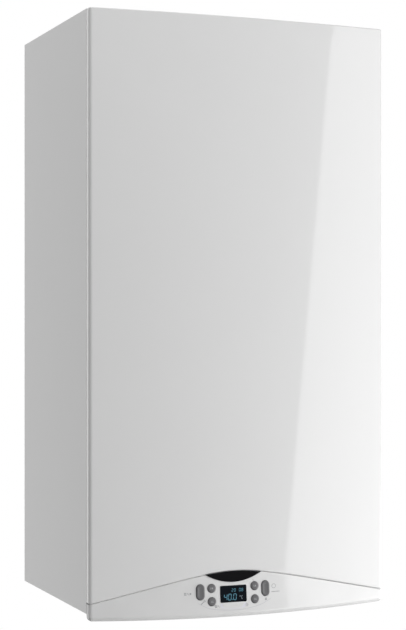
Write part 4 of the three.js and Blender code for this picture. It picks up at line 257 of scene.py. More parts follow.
def dense(path, spacing):
    """A path with points added on its straight runs, no further apart than the spacing."""
    path = np.asarray(path, float)
    length = np.concatenate([[0], np.cumsum(np.linalg.norm(np.diff(path, axis=0), axis=1))])
    extra = np.linspace(0, length[-1], int(length[-1] / spacing) + 2)
    where = np.unique(np.round(np.concatenate([length, extra]), 6))
    return np.column_stack([np.interp(where, length, path[:, k]) for k in range(3)])


def carried_frames(path):
    """Tangent, normal and binormal at each point of a path, turned as little as it can be on the way."""
    path = np.asarray(path, float)
    tangent = np.gradient(path, axis=0)
    tangent /= np.linalg.norm(tangent, axis=1, keepdims=True)
    normal = np.cross(tangent[0], (0.0, 0.0, 1.0))
    if np.linalg.norm(normal) < 1e-3:
        normal = np.array([1.0, 0.0, 0.0])
    normals = []
    for t in tangent:
        normal = normal - t * (normal @ t)
        normal = normal / np.linalg.norm(normal)
        normals.append(normal)
    normals = np.array(normals)
    return tangent, normals, np.cross(tangent, normals)


def tube(path, radius, wall=0.0, sides=24):
    """A circle carried along a path: p + r (n cos a + b sin a). With a wall it is open at its ends."""
    path = np.asarray(path, float)
    _, normal, binormal = carried_frames(path)
    angle = np.linspace(0, 2 * math.pi, sides, endpoint=False)[None, :, None]
    ring = normal[:, None] * np.cos(angle) + binormal[:, None] * np.sin(angle)
    reach = np.broadcast_to(np.asarray(radius, float).reshape(-1, 1, 1), (len(path), 1, 1))
    outer = path[:, None] + reach * ring
    if wall:
        inner = path[::-1, None] + (reach[::-1] - wall) * ring[::-1]
        grid = np.concatenate([outer, inner])
        return Shell(grid, lattice(len(grid), sides, True, True)).facing_out()
    count = len(path)
    faces = lattice(count, sides, False, True)
    faces += [list(range(sides))[::-1], list(range((count - 1) * sides, count * sides))]
    return Shell(outer, faces).facing_out()


def bolt(place, axis="y", out=-1.0, radius=4.0, height=3.2, washer=True):
    """A hexagon head on a washer; out is the way that it stands off its face."""
    k = "xyz".index(axis)
    centre = tuple(np.delete(place, k))
    face = place[k]
    near, far = sorted((face, face + out * height))
    head = hexagon(radius * 1.75, (near, far), axis, centre)
    if not washer:
        return head
    plate = sorted((face - out * 0.2, face + out * 0.9))
    return head + rod(radius * 1.35, plate, axis, centre, 0.3, 24)


def slotted_screw(place, axis="y", out=-1.0, radius=3.4, height=2.0):
    """A pan head with a cross recess: a dome profile turned, less two thin boxes."""
    k = "xyz".index(axis)
    centre = tuple(np.delete(place, k))
    face, top = place[k], place[k] + out * height
    dome = [(0, face - out * 0.4), (radius, face - out * 0.4), (radius, face + out * height * 0.45)]
    dome += [(radius * 0.72, face + out * height * 0.86), (0, top)]
    head = turned(softened(dome, 0.5, 2), axis, centre, 24)
    long, thin = radius * 0.62, radius * 0.14
    deep = sorted((top - out * height * 0.45, top + out))
    a = extruded(rounded_box((-long, long), (-thin, thin), thin * 0.5, 1) + centre, deep, axis)
    b = extruded(rounded_box((-thin, thin), (-long, long), thin * 0.5, 1) + centre, deep, axis)
    return carved(carved(head, a), b)


def throwaway(shell):
    mesh = bpy.data.meshes.new("throwaway")
    mesh.from_pydata(shell.points.tolist(), [], shell.faces)
    thing = bpy.data.objects.new("throwaway", mesh)
    bpy.context.scene.collection.objects.link(thing)
    return thing


def carved(shell, cutter, operation="DIFFERENCE"):
    """One shell less another, by an exact boolean on objects that are thrown away afterwards."""
    base, tool = throwaway(shell), throwaway(cutter)
    modifier = base.modifiers.new("cut", "BOOLEAN")
    modifier.operation = operation
    modifier.solver = "EXACT"
    modifier.object = tool
    shown = base.evaluated_get(bpy.context.evaluated_depsgraph_get())
    mesh = bpy.data.meshes.new_from_object(shown)
    points = np.empty(len(mesh.vertices) * 3)
    mesh.vertices.foreach_get("co", points)
    faces = [list(polygon.vertices) for polygon in mesh.polygons]
    for thing in (base, tool):
        old = thing.data
        bpy.data.objects.remove(thing)
        bpy.data.meshes.remove(old)
    bpy.data.meshes.remove(mesh)
    if not faces:
        raise RuntimeError("a cut left nothing of a shape")
    return Shell(points, faces)


def frame_metres(points):
    """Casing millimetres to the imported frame's metres: down by the hanging height, then a thousandth."""
    return (np.asarray(points, float) - (0, 0, HANGING_HEIGHT)) * 0.001


def piece(name, parts, body="chassis", replaces=(), bevel=0.0, crease=32.0):
    """One object from pairs of a shell and its finish, riding on a body.

    A bevel, in millimetres, rounds its edges; without one, edges past the crease angle stay sharp.
    """
    points, faces, indices, finishes = [], [], [], []
    shift = 0
    for shell, finish in parts:
        if finish not in finishes:
            finishes.append(finish)
        points.append(shell.points)
        faces += [[i + shift for i in face] for face in shell.faces]
        indices += [finishes.index(finish)] * len(shell.faces)
        shift += len(shell.points)
    mesh = bpy.data.meshes.new(name)
    mesh.from_pydata(frame_metres(np.vstack(points)).tolist(), [], faces)
    mesh.polygons.foreach_set("material_index", indices)
    for finish in finishes:
        mesh.materials.append(material(finish))
    mesh.shade_smooth()
    thing = bpy.data.objects.new(name, mesh)
    bpy.context.scene.collection.objects.link(thing)
    if bevel:
        modifier = thing.modifiers.new("edges", "BEVEL")
        modifier.width = bevel * 0.001
        modifier.segments = 2
        modifier.limit_method = "ANGLE"
        modifier.angle_limit = math.radians(crease)
        modifier.harden_normals = True
    else:
        mesh.set_sharp_from_angle(angle=math.radians(crease))
    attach(thing, body)
    if replaces:
        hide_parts(*replaces)
    return thing


# ---------------------------------------------------------------------------------------------
# Finishes


class Value:
    """A socket of a material's graph, which + - * / and their reflected forms can reckon with."""

    def __init__(self, graph, socket):
        self.graph = graph
        self.socket = socket

    def __add__(self, other):
        return self.graph.maths("ADD", self, other)

    __radd__ = __add__

    def __sub__(self, other):
        return self.graph.maths("SUBTRACT", self, other)

    def __rsub__(self, other):
        return self.graph.maths("SUBTRACT", other, self)

    def __mul__(self, other):
        return self.graph.maths("MULTIPLY", self, other)

    __rmul__ = __mul__

    def __truediv__(self, other):
        return self.graph.maths("DIVIDE", self, other)

    def __rtruediv__(self, other):
        return self.graph.maths("DIVIDE", other, self)

    def over(self, limit):
        return self.graph.maths("GREATER_THAN", self, limit)

    def power(self, exponent):
        return self.graph.maths("POWER", self, exponent)


class Finish:
    """A material under the name of a finish, and the nodes that it is drawn with."""

    def __init__(self, name):
        self.material = bpy.data.materials.new(name)
        self.material.use_nodes = True
        self.tree = self.material.node_tree
        self.tree.nodes.clear()
        self.surface = self.tree.nodes.new("ShaderNodeBsdfPrincipled")
        out = self.tree.nodes.new("ShaderNodeOutputMaterial")
        self.tree.links.new(self.surface.outputs[0], out.inputs[0])
        self.place = self.node("ShaderNodeTexCoord", output="Object")

    def put(self, socket, value):
        """Links a value to a socket, or sets a constant on it."""
        if isinstance(value, Value):
            self.tree.links.new(value.socket, socket)
        elif socket.type == "RGBA" and len(value) == 3:
            socket.default_value = (*value, 1.0)
        else:
            socket.default_value = value

    def node(self, kind, settings=None, stops=None, output=0, **values):
        """A node of a type, with its settings first, then a ramp's stops, then its inputs by name."""
        made = self.tree.nodes.new(kind)
        for setting, value in (settings or {}).items():
            setattr(made, setting, value)
        if stops:
            while len(made.color_ramp.elements) < len(stops):
                made.color_ramp.elements.new(0.5)
            for element, (position, colour) in zip(made.color_ramp.elements, stops):
                element.position = position
                element.color = (*colour, 1.0)
        for name, value in values.items():
            self.put(made.inputs[name.replace("_", " ")], value)
        return Value(self, made.outputs[output])

    def maths(self, operation, a, b):
        made = self.tree.nodes.new("ShaderNodeMath")
        made.operation = operation
        self.put(made.inputs[0], a)
        self.put(made.inputs[1], b)
        return Value(self, made.outputs[0])

    def blend(self, factor, a, b):
        """A colour between two, by a factor from 0 to 1."""
        made = self.tree.nodes.new("ShaderNodeMix")
        made.data_type = "RGBA"
        self.put(made.inputs[0], factor)
        self.put(made.inputs[6], a)
        self.put(made.inputs[7], b)
        return Value(self, made.outputs[2])

    def stretched(self, x=1.0, y=1.0, z=1.0):
        made = self.tree.nodes.new("ShaderNodeVectorMath")
        made.operation = "MULTIPLY"
        self.put(made.inputs[0], self.place)
        made.inputs[1].default_value = (x, y, z)
        return Value(self, made.outputs[0])

    def noise(self, scale, detail=2.0, place=None, roughness=0.5):
        """Noise from 0 to 1, so many waves to the metre."""
        where = place or self.place
        return self.node(
            "ShaderNodeTexNoise", Vector=where, Scale=scale, Detail=detail, Roughness=roughness
        )

    def bumped(self, height, depth, strength=1.0):
        """The surface's normal, tilted by a height of so many metres."""
        normal = self.node("ShaderNodeBump", Height=height, Distance=depth, Strength=strength)
        self.put(self.surface.inputs["Normal"], normal)

    def dressed(self, **values):
        for name, value in values.items():
            self.put(self.surface.inputs[name.replace("_", " ")], value)
        return self.material


def shade(colour, factor):
    return tuple(min(1.0, part * factor) for part in colour)


def powder_coat(name, colour, roughness=0.4, coat=1.0, peel=0.012):
    """Baked paint: a clear gloss over the colour, its orange peel, and a cloudy change in tone."""
    finish = Finish(name)
    cloud = finish.noise(9.0, 3.0)
    finish.bumped(finish.noise(420.0, 2.0) + finish.noise(150.0, 1.0), 0.0002, peel)
    return finish.dressed(
        Base_Color=finish.blend(cloud, shade(colour, 0.985), shade(colour, 1.01)),
        Roughness=roughness + 0.05 * finish.noise(60.0),
        Coat_Weight=coat,
        Coat_Roughness=0.045,
    )


def moulded(name, colour, roughness=0.4, grain=0.1, coat=0.0, sheen=0.5):
    """Injection-moulded plastic: a spark-eroded grain and a slightly uneven sheen."""
    finish = Finish(name)
    cloud = finish.noise(22.0, 3.0)
    finish.bumped(finish.noise(2600.0, 3.0) + 0.5 * finish.noise(700.0, 2.0), 0.00015, grain)
    return finish.dressed(
        Base_Color=finish.blend(cloud, shade(colour, 0.94), shade(colour, 1.05)),
        Roughness=roughness + 0.08 * (finish.noise(130.0) - 0.5),
        Coat_Weight=coat,
        Coat_Roughness=0.06,
        Specular_IOR_Level=sheen,
    )


def rolled_metal(name, colour, roughness=0.3, along=(1.0, 1.0, 14.0)):
    """Sheet or tube with drawing marks: noise stretched across the way it was drawn."""
    finish = Finish(name)
    marks = finish.noise(160.0, 4.0, finish.stretched(*along))
    patches = finish.noise(18.0, 3.0)
    finish.bumped(marks, 0.0001, 0.12)
    return finish.dressed(
        Base_Color=finish.blend(patches, shade(colour, 0.86), shade(colour, 1.05)),
        Roughness=roughness + 0.14 * (marks - 0.5) + 0.1 * (patches - 0.5),
        Metallic=1.0,
    )


def cast_metal(name, colour, roughness=0.5, metallic=1.0):
    """Die-cast or sand-cast metal: a pebbled skin, with dull hollows and a few flow marks."""
    finish = Finish(name)
    pebbles = finish.noise(900.0, 4.0, roughness=0.6)
    flow = finish.noise(28.0, 4.0, roughness=0.6)
    finish.bumped(pebbles + 0.6 * finish.noise(260.0, 2.0), 0.0003, 0.28)
    return finish.dressed(
        Base_Color=finish.blend(flow, shade(colour, 0.78), shade(colour, 1.08)),
        Roughness=roughness + 0.2 * (flow - 0.5) + 0.12 * (pebbles - 0.5),
        Metallic=metallic,
    )


def galvanised():
    """Zinc's spangle: cells of slightly different greys and sheens."""
    finish = Finish("galvanised")
    cells = finish.node("ShaderNodeTexVoronoi", output="Color", Vector=finish.place, Scale=150.0)
    tone = finish.node("ShaderNodeSeparateColor", Color=cells)
    colour = finish.blend(tone, (0.44, 0.46, 0.48), (0.66, 0.68, 0.70))
    finish.bumped(finish.noise(500.0, 3.0), 0.0001, 0.15)
    return finish.dressed(
        Base_Color=colour, Roughness=0.3 + 0.16 * tone + 0.1 * finish.noise(12.0), Metallic=1.0
    )


def tarnished_copper():
    """Copper tube: bright where it was drawn, brown where hands and flux have marked it."""
    finish = Finish("copper")
    marks = finish.noise(26.0, 5.0, roughness=0.65)
    ramp = finish.node(
        "ShaderNodeValToRGB",
        stops=[(0.3, (0.36, 0.15, 0.08)), (0.48, (0.70, 0.34, 0.19)), (0.8, (0.86, 0.47, 0.30))],
        Fac=marks,
    )
    finish.bumped(finish.noise(700.0, 2.0), 0.0001, 0.08)
    return finish.dressed(Base_Color=ramp, Roughness=0.42 - 0.2 * marks, Metallic=1.0)


def circuit_board():
    """Green lacquer over copper tracks: a brick pattern's joints stand for the tracks."""
    finish = Finish("circuit board")
    tracks = finish.node(
        "ShaderNodeTexBrick",
        {"offset": 0.37, "squash": 0.7},
        output="Fac",
        Vector=finish.node(
            "ShaderNodeMapping", Vector=finish.place, Rotation=(math.radians(90), 0.0, 0.0)
        ),
        Scale=95.0,
        Mortar_Size=0.035,
    )
    patches = finish.noise(45.0, 1.0).over(0.52)
    finish.bumped(tracks, 0.00006, 0.6)
    return finish.dressed(
        Base_Color=finish.blend(0.5 * tracks + 0.3 * patches, (0.008, 0.075, 0.03), (0.04, 0.22, 0.09)),
        Roughness=0.3 + 0.1 * finish.noise(200.0),
        Coat_Weight=0.4,
    )


def clear_plastic(name, colour):
    """Translucent moulded plastic: light passes, tinted, through a faintly waved wall."""
    finish = Finish(name)
    finish.bumped(finish.noise(160.0, 2.0), 0.0002, 0.15)
    return finish.dressed(
        Base_Color=finish.blend(finish.noise(30.0), shade(colour, 0.9), colour),
        Roughness=0.16 + 0.1 * finish.noise(90.0),
        Transmission_Weight=0.55,
        IOR=1.46,
    )


def display_glass():
    """The lens over the display: near black, with a dull smear in its gloss."""
    finish = Finish("display glass")
    smear = finish.noise(60.0, 2.0)
    return finish.dressed(
        Base_Color=finish.blend(smear, (0.003, 0.005, 0.008), (0.006, 0.009, 0.013)),
        Roughness=0.12 + 0.1 * smear,
        Specular_IOR_Level=0.05,
    )


def glowing_digits():
    """Lit segments, their glow varying a little in cloudy patches."""
    finish = Finish("lit segments")
    glow = finish.blend(finish.noise(120.0), (0.10, 0.42, 0.60), (0.20, 0.62, 0.82))
    return finish.dressed(
        Base_Color=(0.02, 0.08, 0.11), Emission_Color=glow, Emission_Strength=0.24, Roughness=0.4
    )


def glowing_units():
    """The unit's segments, greyer and dimmer than the figures."""
    finish = Finish("lit units")
    glow = finish.blend(finish.noise(120.0), (0.26, 0.34, 0.38), (0.36, 0.44, 0.48))
    return finish.dressed(
        Base_Color=(0.04, 0.05, 0.06), Emission_Color=glow, Emission_Strength=0.5, Roughness=0.4
    )


def ink(name, colour):
    """Pad-printed ink: a thin matt layer, thinner here and there."""
    finish = Finish(name)
    thin = finish.noise(1500.0, 2.0)
    return finish.dressed(
        Base_Color=finish.blend(thin, shade(colour, 0.94), shade(colour, 1.06)),
        Roughness=0.42 + 0.1 * thin,
        Coat_Weight=0.5,
        Coat_Roughness=0.08,
    )


def insulator():
    """Glazed ceramic: off-white, with fine grey specks."""
    finish = Finish("ceramic")
    specks = finish.noise(1800.0, 2.0).over(0.68)
    finish.bumped(finish.noise(300.0, 2.0), 0.0001, 0.1)
    return finish.dressed(
        Base_Color=finish.blend(0.4 * specks, (0.82, 0.80, 0.74), (0.4, 0.38, 0.35)),
        Roughness=0.18 + 0.1 * finish.noise(40.0),
        Coat_Weight=0.5,
    )


def pale_floor():
    """A pale screed. Seen directly it is mixed with the white round it, so that its shadow still shows."""
    finish = Finish("pale floor")
    cloud = finish.noise(3.0, 3.0)
    finish.bumped(finish.noise(300.0, 2.0), 0.0002, 0.1)
    white = finish.node("ShaderNodeEmission", Color=(1.0, 1.0, 1.0), Strength=1.0)
    seen = finish.node("ShaderNodeLightPath", output="Is Camera Ray")
    mix = finish.tree.nodes.new("ShaderNodeMixShader")
    finish.put(mix.inputs[0], 0.6 * seen)
    finish.tree.links.new(finish.surface.outputs[0], mix.inputs[1])
    finish.tree.links.new(white.socket, mix.inputs[2])
    finish.tree.links.new(mix.outputs[0], finish.tree.nodes["Material Output"].inputs[0])
    return finish.dressed(
        Base_Color=finish.blend(cloud, (0.88, 0.88, 0.87), (0.92, 0.92, 0.91)),
        Roughness=0.6 + 0.1 * cloud,
    )


FINISHES = {
    "white steel": lambda: powder_coat("white steel", tuple(look().panel_white)),
    "white plastic": lambda: moulded("white plastic", tuple(look().fascia_white), 0.34, 0.03, 1.0),
    "key grey": lambda: moulded("key grey", tuple(look().key_grey), 0.38, 0.12, 0.35),
    "gloss black": lambda: moulded("gloss black", (0.004, 0.004, 0.005), 0.1, 0.01, 0.0, 0.07),
    "display glass": display_glass,
    "lit segments": glowing_digits,
    "lit units": glowing_units,
    "grey ink": lambda: ink("grey ink", (0.30, 0.30, 0.32)),
    # A grey for painted shade along the edge of the raised overlay round the keys
    "pale ink": lambda: ink("pale ink", (0.60, 0.60, 0.63)),
    "light ink": lambda: ink("light ink", (0.44, 0.44, 0.46)),
    "dim ink": lambda: ink("dim ink", (0.17, 0.17, 0.18)),
    "lavender film": lambda: ink("lavender film", (0.79, 0.79, 0.85)),
    "galvanised": galvanised,
    "zinc screw": lambda: rolled_metal("zinc screw", (0.62, 0.62, 0.60), 0.25),
    "stainless": lambda: rolled_metal("stainless", (0.62, 0.61, 0.59), 0.26, (1.0, 12.0, 1.0)),
    "cast aluminium": lambda: cast_metal("cast aluminium", (0.42, 0.43, 0.44), 0.5),
    "composite": lambda: moulded("composite", (0.035, 0.036, 0.04), 0.52, 0.35),
    "copper": tarnished_copper,
    "brass": lambda: rolled_metal("brass", (0.78, 0.58, 0.26), 0.24, (1.0, 1.0, 10.0)),
    "black plastic": lambda: moulded("black plastic", (0.018, 0.018, 0.02), 0.42, 0.3),
    "grey plastic": lambda: moulded("grey plastic", (0.22, 0.23, 0.24), 0.42, 0.25),
    "black iron": lambda: cast_metal("black iron", (0.022, 0.023, 0.026), 0.5, 0.0),
    "red paint": lambda: powder_coat("red paint", (0.42, 0.018, 0.014), 0.35, 0.7, 0.06),
    "red plastic": lambda: moulded("red plastic", (0.50, 0.02, 0.016), 0.34, 0.15, 0.2),
    "blue plastic": lambda: moulded("blue plastic", (0.015, 0.07, 0.34), 0.36, 0.15, 0.2),
    "clear grey plastic": lambda: clear_plastic("clear grey plastic", (0.62, 0.65, 0.68)),
    "circuit board": circuit_board,
    "ceramic": insulator,
    "ignition lead": lambda: moulded("ignition lead", (0.19, 0.028, 0.016), 0.5, 0.2),
    "rubber": lambda: moulded("rubber", (0.012, 0.012, 0.013), 0.75, 0.3),
    "wheel plastic": lambda: moulded("wheel plastic", (0.30, 0.31, 0.32), 0.4, 0.2),
    "dial white": lambda: ink("dial white", (0.80, 0.80, 0.78)),
    "pale floor": pale_floor,
}


def look():
    return bpy.context.scene.boiler_look


def material(finish):
    """A finish's material, made the first time that it is asked for."""
    return bpy.data.materials.get(finish) or FINISHES[finish]()


def dress(node, finish, bevel=0.0, angle=32.0):
    """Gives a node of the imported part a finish, and rounds its edges by so many millimetres."""
    thing = bpy.data.objects[node]
    for place in thing.material_slots:
        place.material = material(finish)
    if not thing.material_slots:
        thing.data.materials.append(material(finish))
    if bevel:
        modifier = thing.modifiers.new("edges", "BEVEL")
        modifier.width = bevel * 0.001
        modifier.segments = 2
        modifier.limit_method = "ANGLE"
        modifier.angle_limit = math.radians(angle)
    return thing


# ---------------------------------------------------------------------------------------------
# The front's surface


def seam_height(x):
    """The seam's arch: crest - slope * (sqrt((x - axis)^2 + rounding^2) - rounding)."""
    run = np.hypot(np.asarray(x, float) - SEAM_AXIS_X, SEAM_ROUNDING) - SEAM_ROUNDING
    return SEAM_CREST - SEAM_SLOPE * run


def flatness(x):
    """One in the middle of the front and nothing at its corners: 1 - (x / half)^2."""
    return np.clip(1 - (np.asarray(x, float) / FLAT_HALF) ** 2, 0, None)


def lip_bottom(x):
    return -FASCIA_DROOP * flatness(x)


def fascia_bulge(x, z):
    """How far the fascia stands before the panel's crown: it grows evenly from the seam to the lip."""
    top, low = seam_height(x), lip_bottom(x) + LIP_RADIUS
    return FASCIA_BULGE * flatness(x) * np.clip((top - z) / (top - low), 0, 1)


def crown_y(x):
    return FRONT_Y - CROWN + CROWN_RADIUS - np.sqrt(CROWN_RADIUS**2 - np.asarray(x, float) ** 2)


def fascia_y(x, z):
    return crown_y(x) - fascia_bulge(x, z)


def front_stations(crown_steps, corner_steps):
    """Places round the front from one return to the other: x, y and the outward nx, ny of each."""
    corner = (math.pi / 2 - CROWN_ANGLE) * np.arange(corner_steps) / corner_steps
    crown = CROWN_ANGLE * np.linspace(-1, 1, crown_steps + 1)
    nx = np.concatenate([[-1.0], -np.cos(corner), np.sin(crown), np.cos(corner)[::-1], [1.0]])
    ny = np.concatenate([[0.0], -np.sin(corner), -np.cos(crown), -np.sin(corner)[::-1], [0.0]])
    x = np.concatenate([
        [-HALF],
        -FLAT_HALF - CORNER * np.cos(corner),
        CROWN_RADIUS * np.sin(crown),
        (FLAT_HALF + CORNER * np.cos(corner))[::-1],
        [HALF],
    ])
    round_y = FRONT_Y + CORNER - CORNER * np.sin(corner)
    crown_line = FRONT_Y - CROWN + CROWN_RADIUS * (1 - np.cos(crown))
    back = [FRONT_Y + RETURN]
    y = np.concatenate([back, round_y, crown_line, round_y[::-1], back])
    return np.column_stack([x, y, nx, ny])


def control_frame():
    """The plane of the controls: its middle on the fascia's face, and its three axes as rows."""
    middle = np.array([CONTROL_X, float(fascia_y(CONTROL_X, CONTROL_Z)), CONTROL_Z])
    top, low = seam_height(CONTROL_X), lip_bottom(CONTROL_X) + LIP_RADIUS
    lean = math.atan2(FASCIA_BULGE * float(flatness(CONTROL_X)), float(top - low))
    turn = math.asin(CONTROL_X / CROWN_RADIUS)
    cos_l, sin_l, cos_t, sin_t = math.cos(lean), math.sin(lean), math.cos(turn), math.sin(turn)
    about_x = np.array([[1, 0, 0], [0, cos_l, sin_l], [0, -sin_l, cos_l]])
    about_z = np.array([[cos_t, -sin_t, 0], [sin_t, cos_t, 0], [0, 0, 1]])
    return middle, (about_z @ about_x).T


CONTROL_MIDDLE, CONTROL_AXES = control_frame()


def in_plane(shell):
    """A shell drawn in the controls' plane (x across, y inwards, z up), taken to the casing's frame."""
    return Shell(shell.points @ CONTROL_AXES + CONTROL_MIDDLE, shell.faces)


def on_face(points, proud):
    """Points (u, v) of the controls' plane, laid on the fascia's curved face and lifted off it."""
    flat = np.asarray(points, float)
    drawn = np.column_stack([flat[:, 0], np.zeros(len(flat)), flat[:, 1]])
    x, _, z = (drawn @ CONTROL_AXES + CONTROL_MIDDLE).T
    return np.column_stack([x, fascia_y(x, z) - proud, z])


# ---------------------------------------------------------------------------------------------
# Pieces of the casing


def front_panel_skin():
    """The panel's outside: every station carried from the seam up to a rounded top edge.

    The fold over the top has a radius r: out = r (cos a - 1), up = r sin a, for a from 0 to 90 degrees.
    """
    stations = front_stations(150, 8)
    fold, rows = 1.6, 60
    x, y, nx, ny = (stations[:, k, None] for k in range(4))
    low = seam_height(x) + SEAM_GAP / 2
    share = np.linspace(0, 1, rows)[None, :] ** 1.5
    rise = low + (CASE_HEIGHT - fold - low) * share
    angle = np.linspace(0, math.pi / 2, 6)[None, 1:]
    z = np.hstack([rise, CASE_HEIGHT - fold + fold * np.sin(angle) + 0 * low])
    hem = 0.6 * np.clip(1 - (rise - low) / 0.9, 0, 1) ** 2
    out = np.hstack([-hem, fold * (np.cos(angle) - 1) + 0 * low])
    grid = np.stack([x + nx * out, y + ny * out, z], -1)
    count, height = grid.shape[:2]
    faces = [face[::-1] for face in lattice(count, height)]
    return Shell(grid, faces + [[i * height + height - 1 for i in range(count)]])


def front_panel_inside():
    """Tongues that hook into the top panel, and the lugs that the casing screws pull down."""
    sheet, folds = 1.2, []
    back = FRONT_Y + RETURN
    for side in (-1, 1):
        x = (side * 120 - 15, side * 120 + 15)
        low = CASE_HEIGHT - sheet - 7
        path = [(back - sheet, CASE_HEIGHT - 0.8), (back - sheet, low), (back + 16, low)]
        path += [(back + 16, low + sheet), (back, low + sheet), (back, CASE_HEIGHT - 0.8)]
        folds.append(extruded(softened(path, 0.5, 2, ring=True), x, "x"))
        middle = FRONT_Y + 20.0
        width = (side * 175 - 10.0, side * 175 + 10.0)
        lug = extruded(
            rounded_box(width, (FRONT_Y - 1.0, middle + 10.0), 3.0), (34.0, 34.0 + sheet), "z"
        )
        folds.append(carved(lug, rod(2.3, (20, 50), "z", (side * 175, middle), 0.1, 24)))
    return folds


def casing_screw(side):
    """A pan head with a cross recess on a captive washer, and its threaded shank."""
    place = (side * 175.0, FRONT_Y + 20.0)
    head = 34.0 - 0.3 - 1.2 - 0.3
    shank = threaded(2.0, (head - 0.4, head + 10.0), "z", place, 0.8, 0.25)
    dome = slotted_screw((place[0], place[1], head - 0.4), "z", -1.0, 4.4, 2.1)
    return [dome, shank, rod(4.5, (head - 0.8, head), "z", place, 0.2, 32)]


def threaded(radius, span, axis, centre, pitch, depth, sides=28):
    """A thread: one helix whose radius falls by its depth between crests, once each pitch.

    r(a, h) = radius - depth * |2 frac(h / pitch - a / 2 pi) - 1|
    """
    low, high = span
    rows = int((high - low) / pitch * 6) + 2
    height = np.linspace(low, high, rows)[:, None]
    angle = np.linspace(0, 2 * math.pi, sides, endpoint=False)[None, :]
    wave = np.abs(2 * ((height / pitch - angle / (2 * math.pi)) % 1.0) - 1)
    r = radius - depth * wave
    grid = np.stack([r * np.cos(angle), r * np.sin(angle), height + 0 * angle], -1).reshape(-1, 3)
    faces = lattice(rows, sides, False, True)
    faces += [list(range(sides))[::-1], list(range((rows - 1) * sides, rows * sides))]
    return Shell(laid(grid, axis, centre), faces).facing_out()


# ---------------------------------------------------------------------------------------------
# Pieces of the control panel


def fascia_outline(low_steps=34, lip_steps=8):
    """Shares of the way down the fascia's outside: rows of the face, then angles of the lip."""
    return np.linspace(0, 1, low_steps), np.linspace(0, math.pi / 2, lip_steps + 1)[1:]


def fascia_shell():
    """The moulding: its section, from the seam over the bulged face and round the lip, at each station.

    The lip is a quarter of an ellipse: out = b - r (1 - cos a), down = h sin a, for a from 0 to 90 degrees.
    """
    stations = front_stations(220, 6)
    x, y, nx, ny = (stations[:, k, None] for k in range(4))
    top = seam_height(x) - SEAM_GAP / 2
    low = lip_bottom(x)
    bend = low + LIP_HEIGHT
    rows, angles = fascia_outline()
    face_z = top - 0.5 + (bend - top + 0.5) * rows[None, :]
    face_out = fascia_bulge(x, face_z)
    b = fascia_bulge(x, bend)
    lip_out = b - LIP_RADIUS + LIP_RADIUS * np.cos(angles)
    lip_z = bend - LIP_HEIGHT * np.sin(angles)
    inner, rise = LIP_RADIUS - FASCIA_WALL, LIP_HEIGHT - FASCIA_WALL
    back_out = b - LIP_RADIUS + inner * np.cos(angles[::-1])
    back_z = bend - rise * np.sin(angles[::-1])
    inside_z = bend + (top - 0.4 - bend) * np.linspace(0, 1, 12)[None, :]
    inside_out = fascia_bulge(x, inside_z) - FASCIA_WALL
    edge_out = np.hstack([-FASCIA_WALL + 0.4 + 0 * x, -0.5 + 0 * x, -0.15 + 0 * x])
    edge_z = np.hstack([top, top, top - 0.15])
    out = np.hstack([face_out, lip_out, back_out, inside_out, edge_out])
    z = np.hstack([face_z, lip_z, back_z, inside_z, edge_z])
    grid = np.stack([x + nx * out, y + ny * out, z], -1)
    count, around_section = grid.shape[:2]
    faces = lattice(count, around_section, False, True)
    first = list(range(around_section))
    last = [(count - 1) * around_section + i for i in first]
    return Shell(grid, faces + [first[::-1], last]).facing_out()


def key_places():
    """Middle of each key in the controls' plane, and how far the face lies behind that plane there."""
    places = {
        "upper_left_button": (-29.0, 8.15),
        "lower_left_button": (-29.0, -8.15),
        "upper_right_button": (29.0, 8.15),
        "lower_right_button": (29.0, -8.15),
        "left_rocker": (-43.8, 4.2),
        "right_rocker": (43.8, 4.2),
    }
    behind = {}
    for name, (u, w) in places.items():
        place = CONTROL_AXES[0] * u + CONTROL_AXES[2] * w + CONTROL_MIDDLE
        gap = float(fascia_y(place[0], place[2])) - place[1]
        behind[name] = (u, w, gap / CONTROL_AXES[1][1])
    return behind


def badge_outline(grow=0.0, steps=48):
    """A lens in the plane: its upper edge keeps to the seam, and its lower edge is a parabola."""
    half = 36.5 + grow
    x = np.linspace(-14.5 - half, -14.5 + half, steps + 1)
    seam = seam_height(x) - SEAM_GAP / 2
    low = seam - (13.0 + grow) * (1 - ((x + 14.5) / half) ** 2)
    high = (seam + 2 * grow)[::-1][1:-1]
    edge = np.column_stack([np.concatenate([x, x[::-1][1:-1]]), np.concatenate([low, high])])
    lean = CONTROL_AXES[2][2]
    return (edge - (CONTROL_X, CONTROL_Z)) / (1.0, lean)


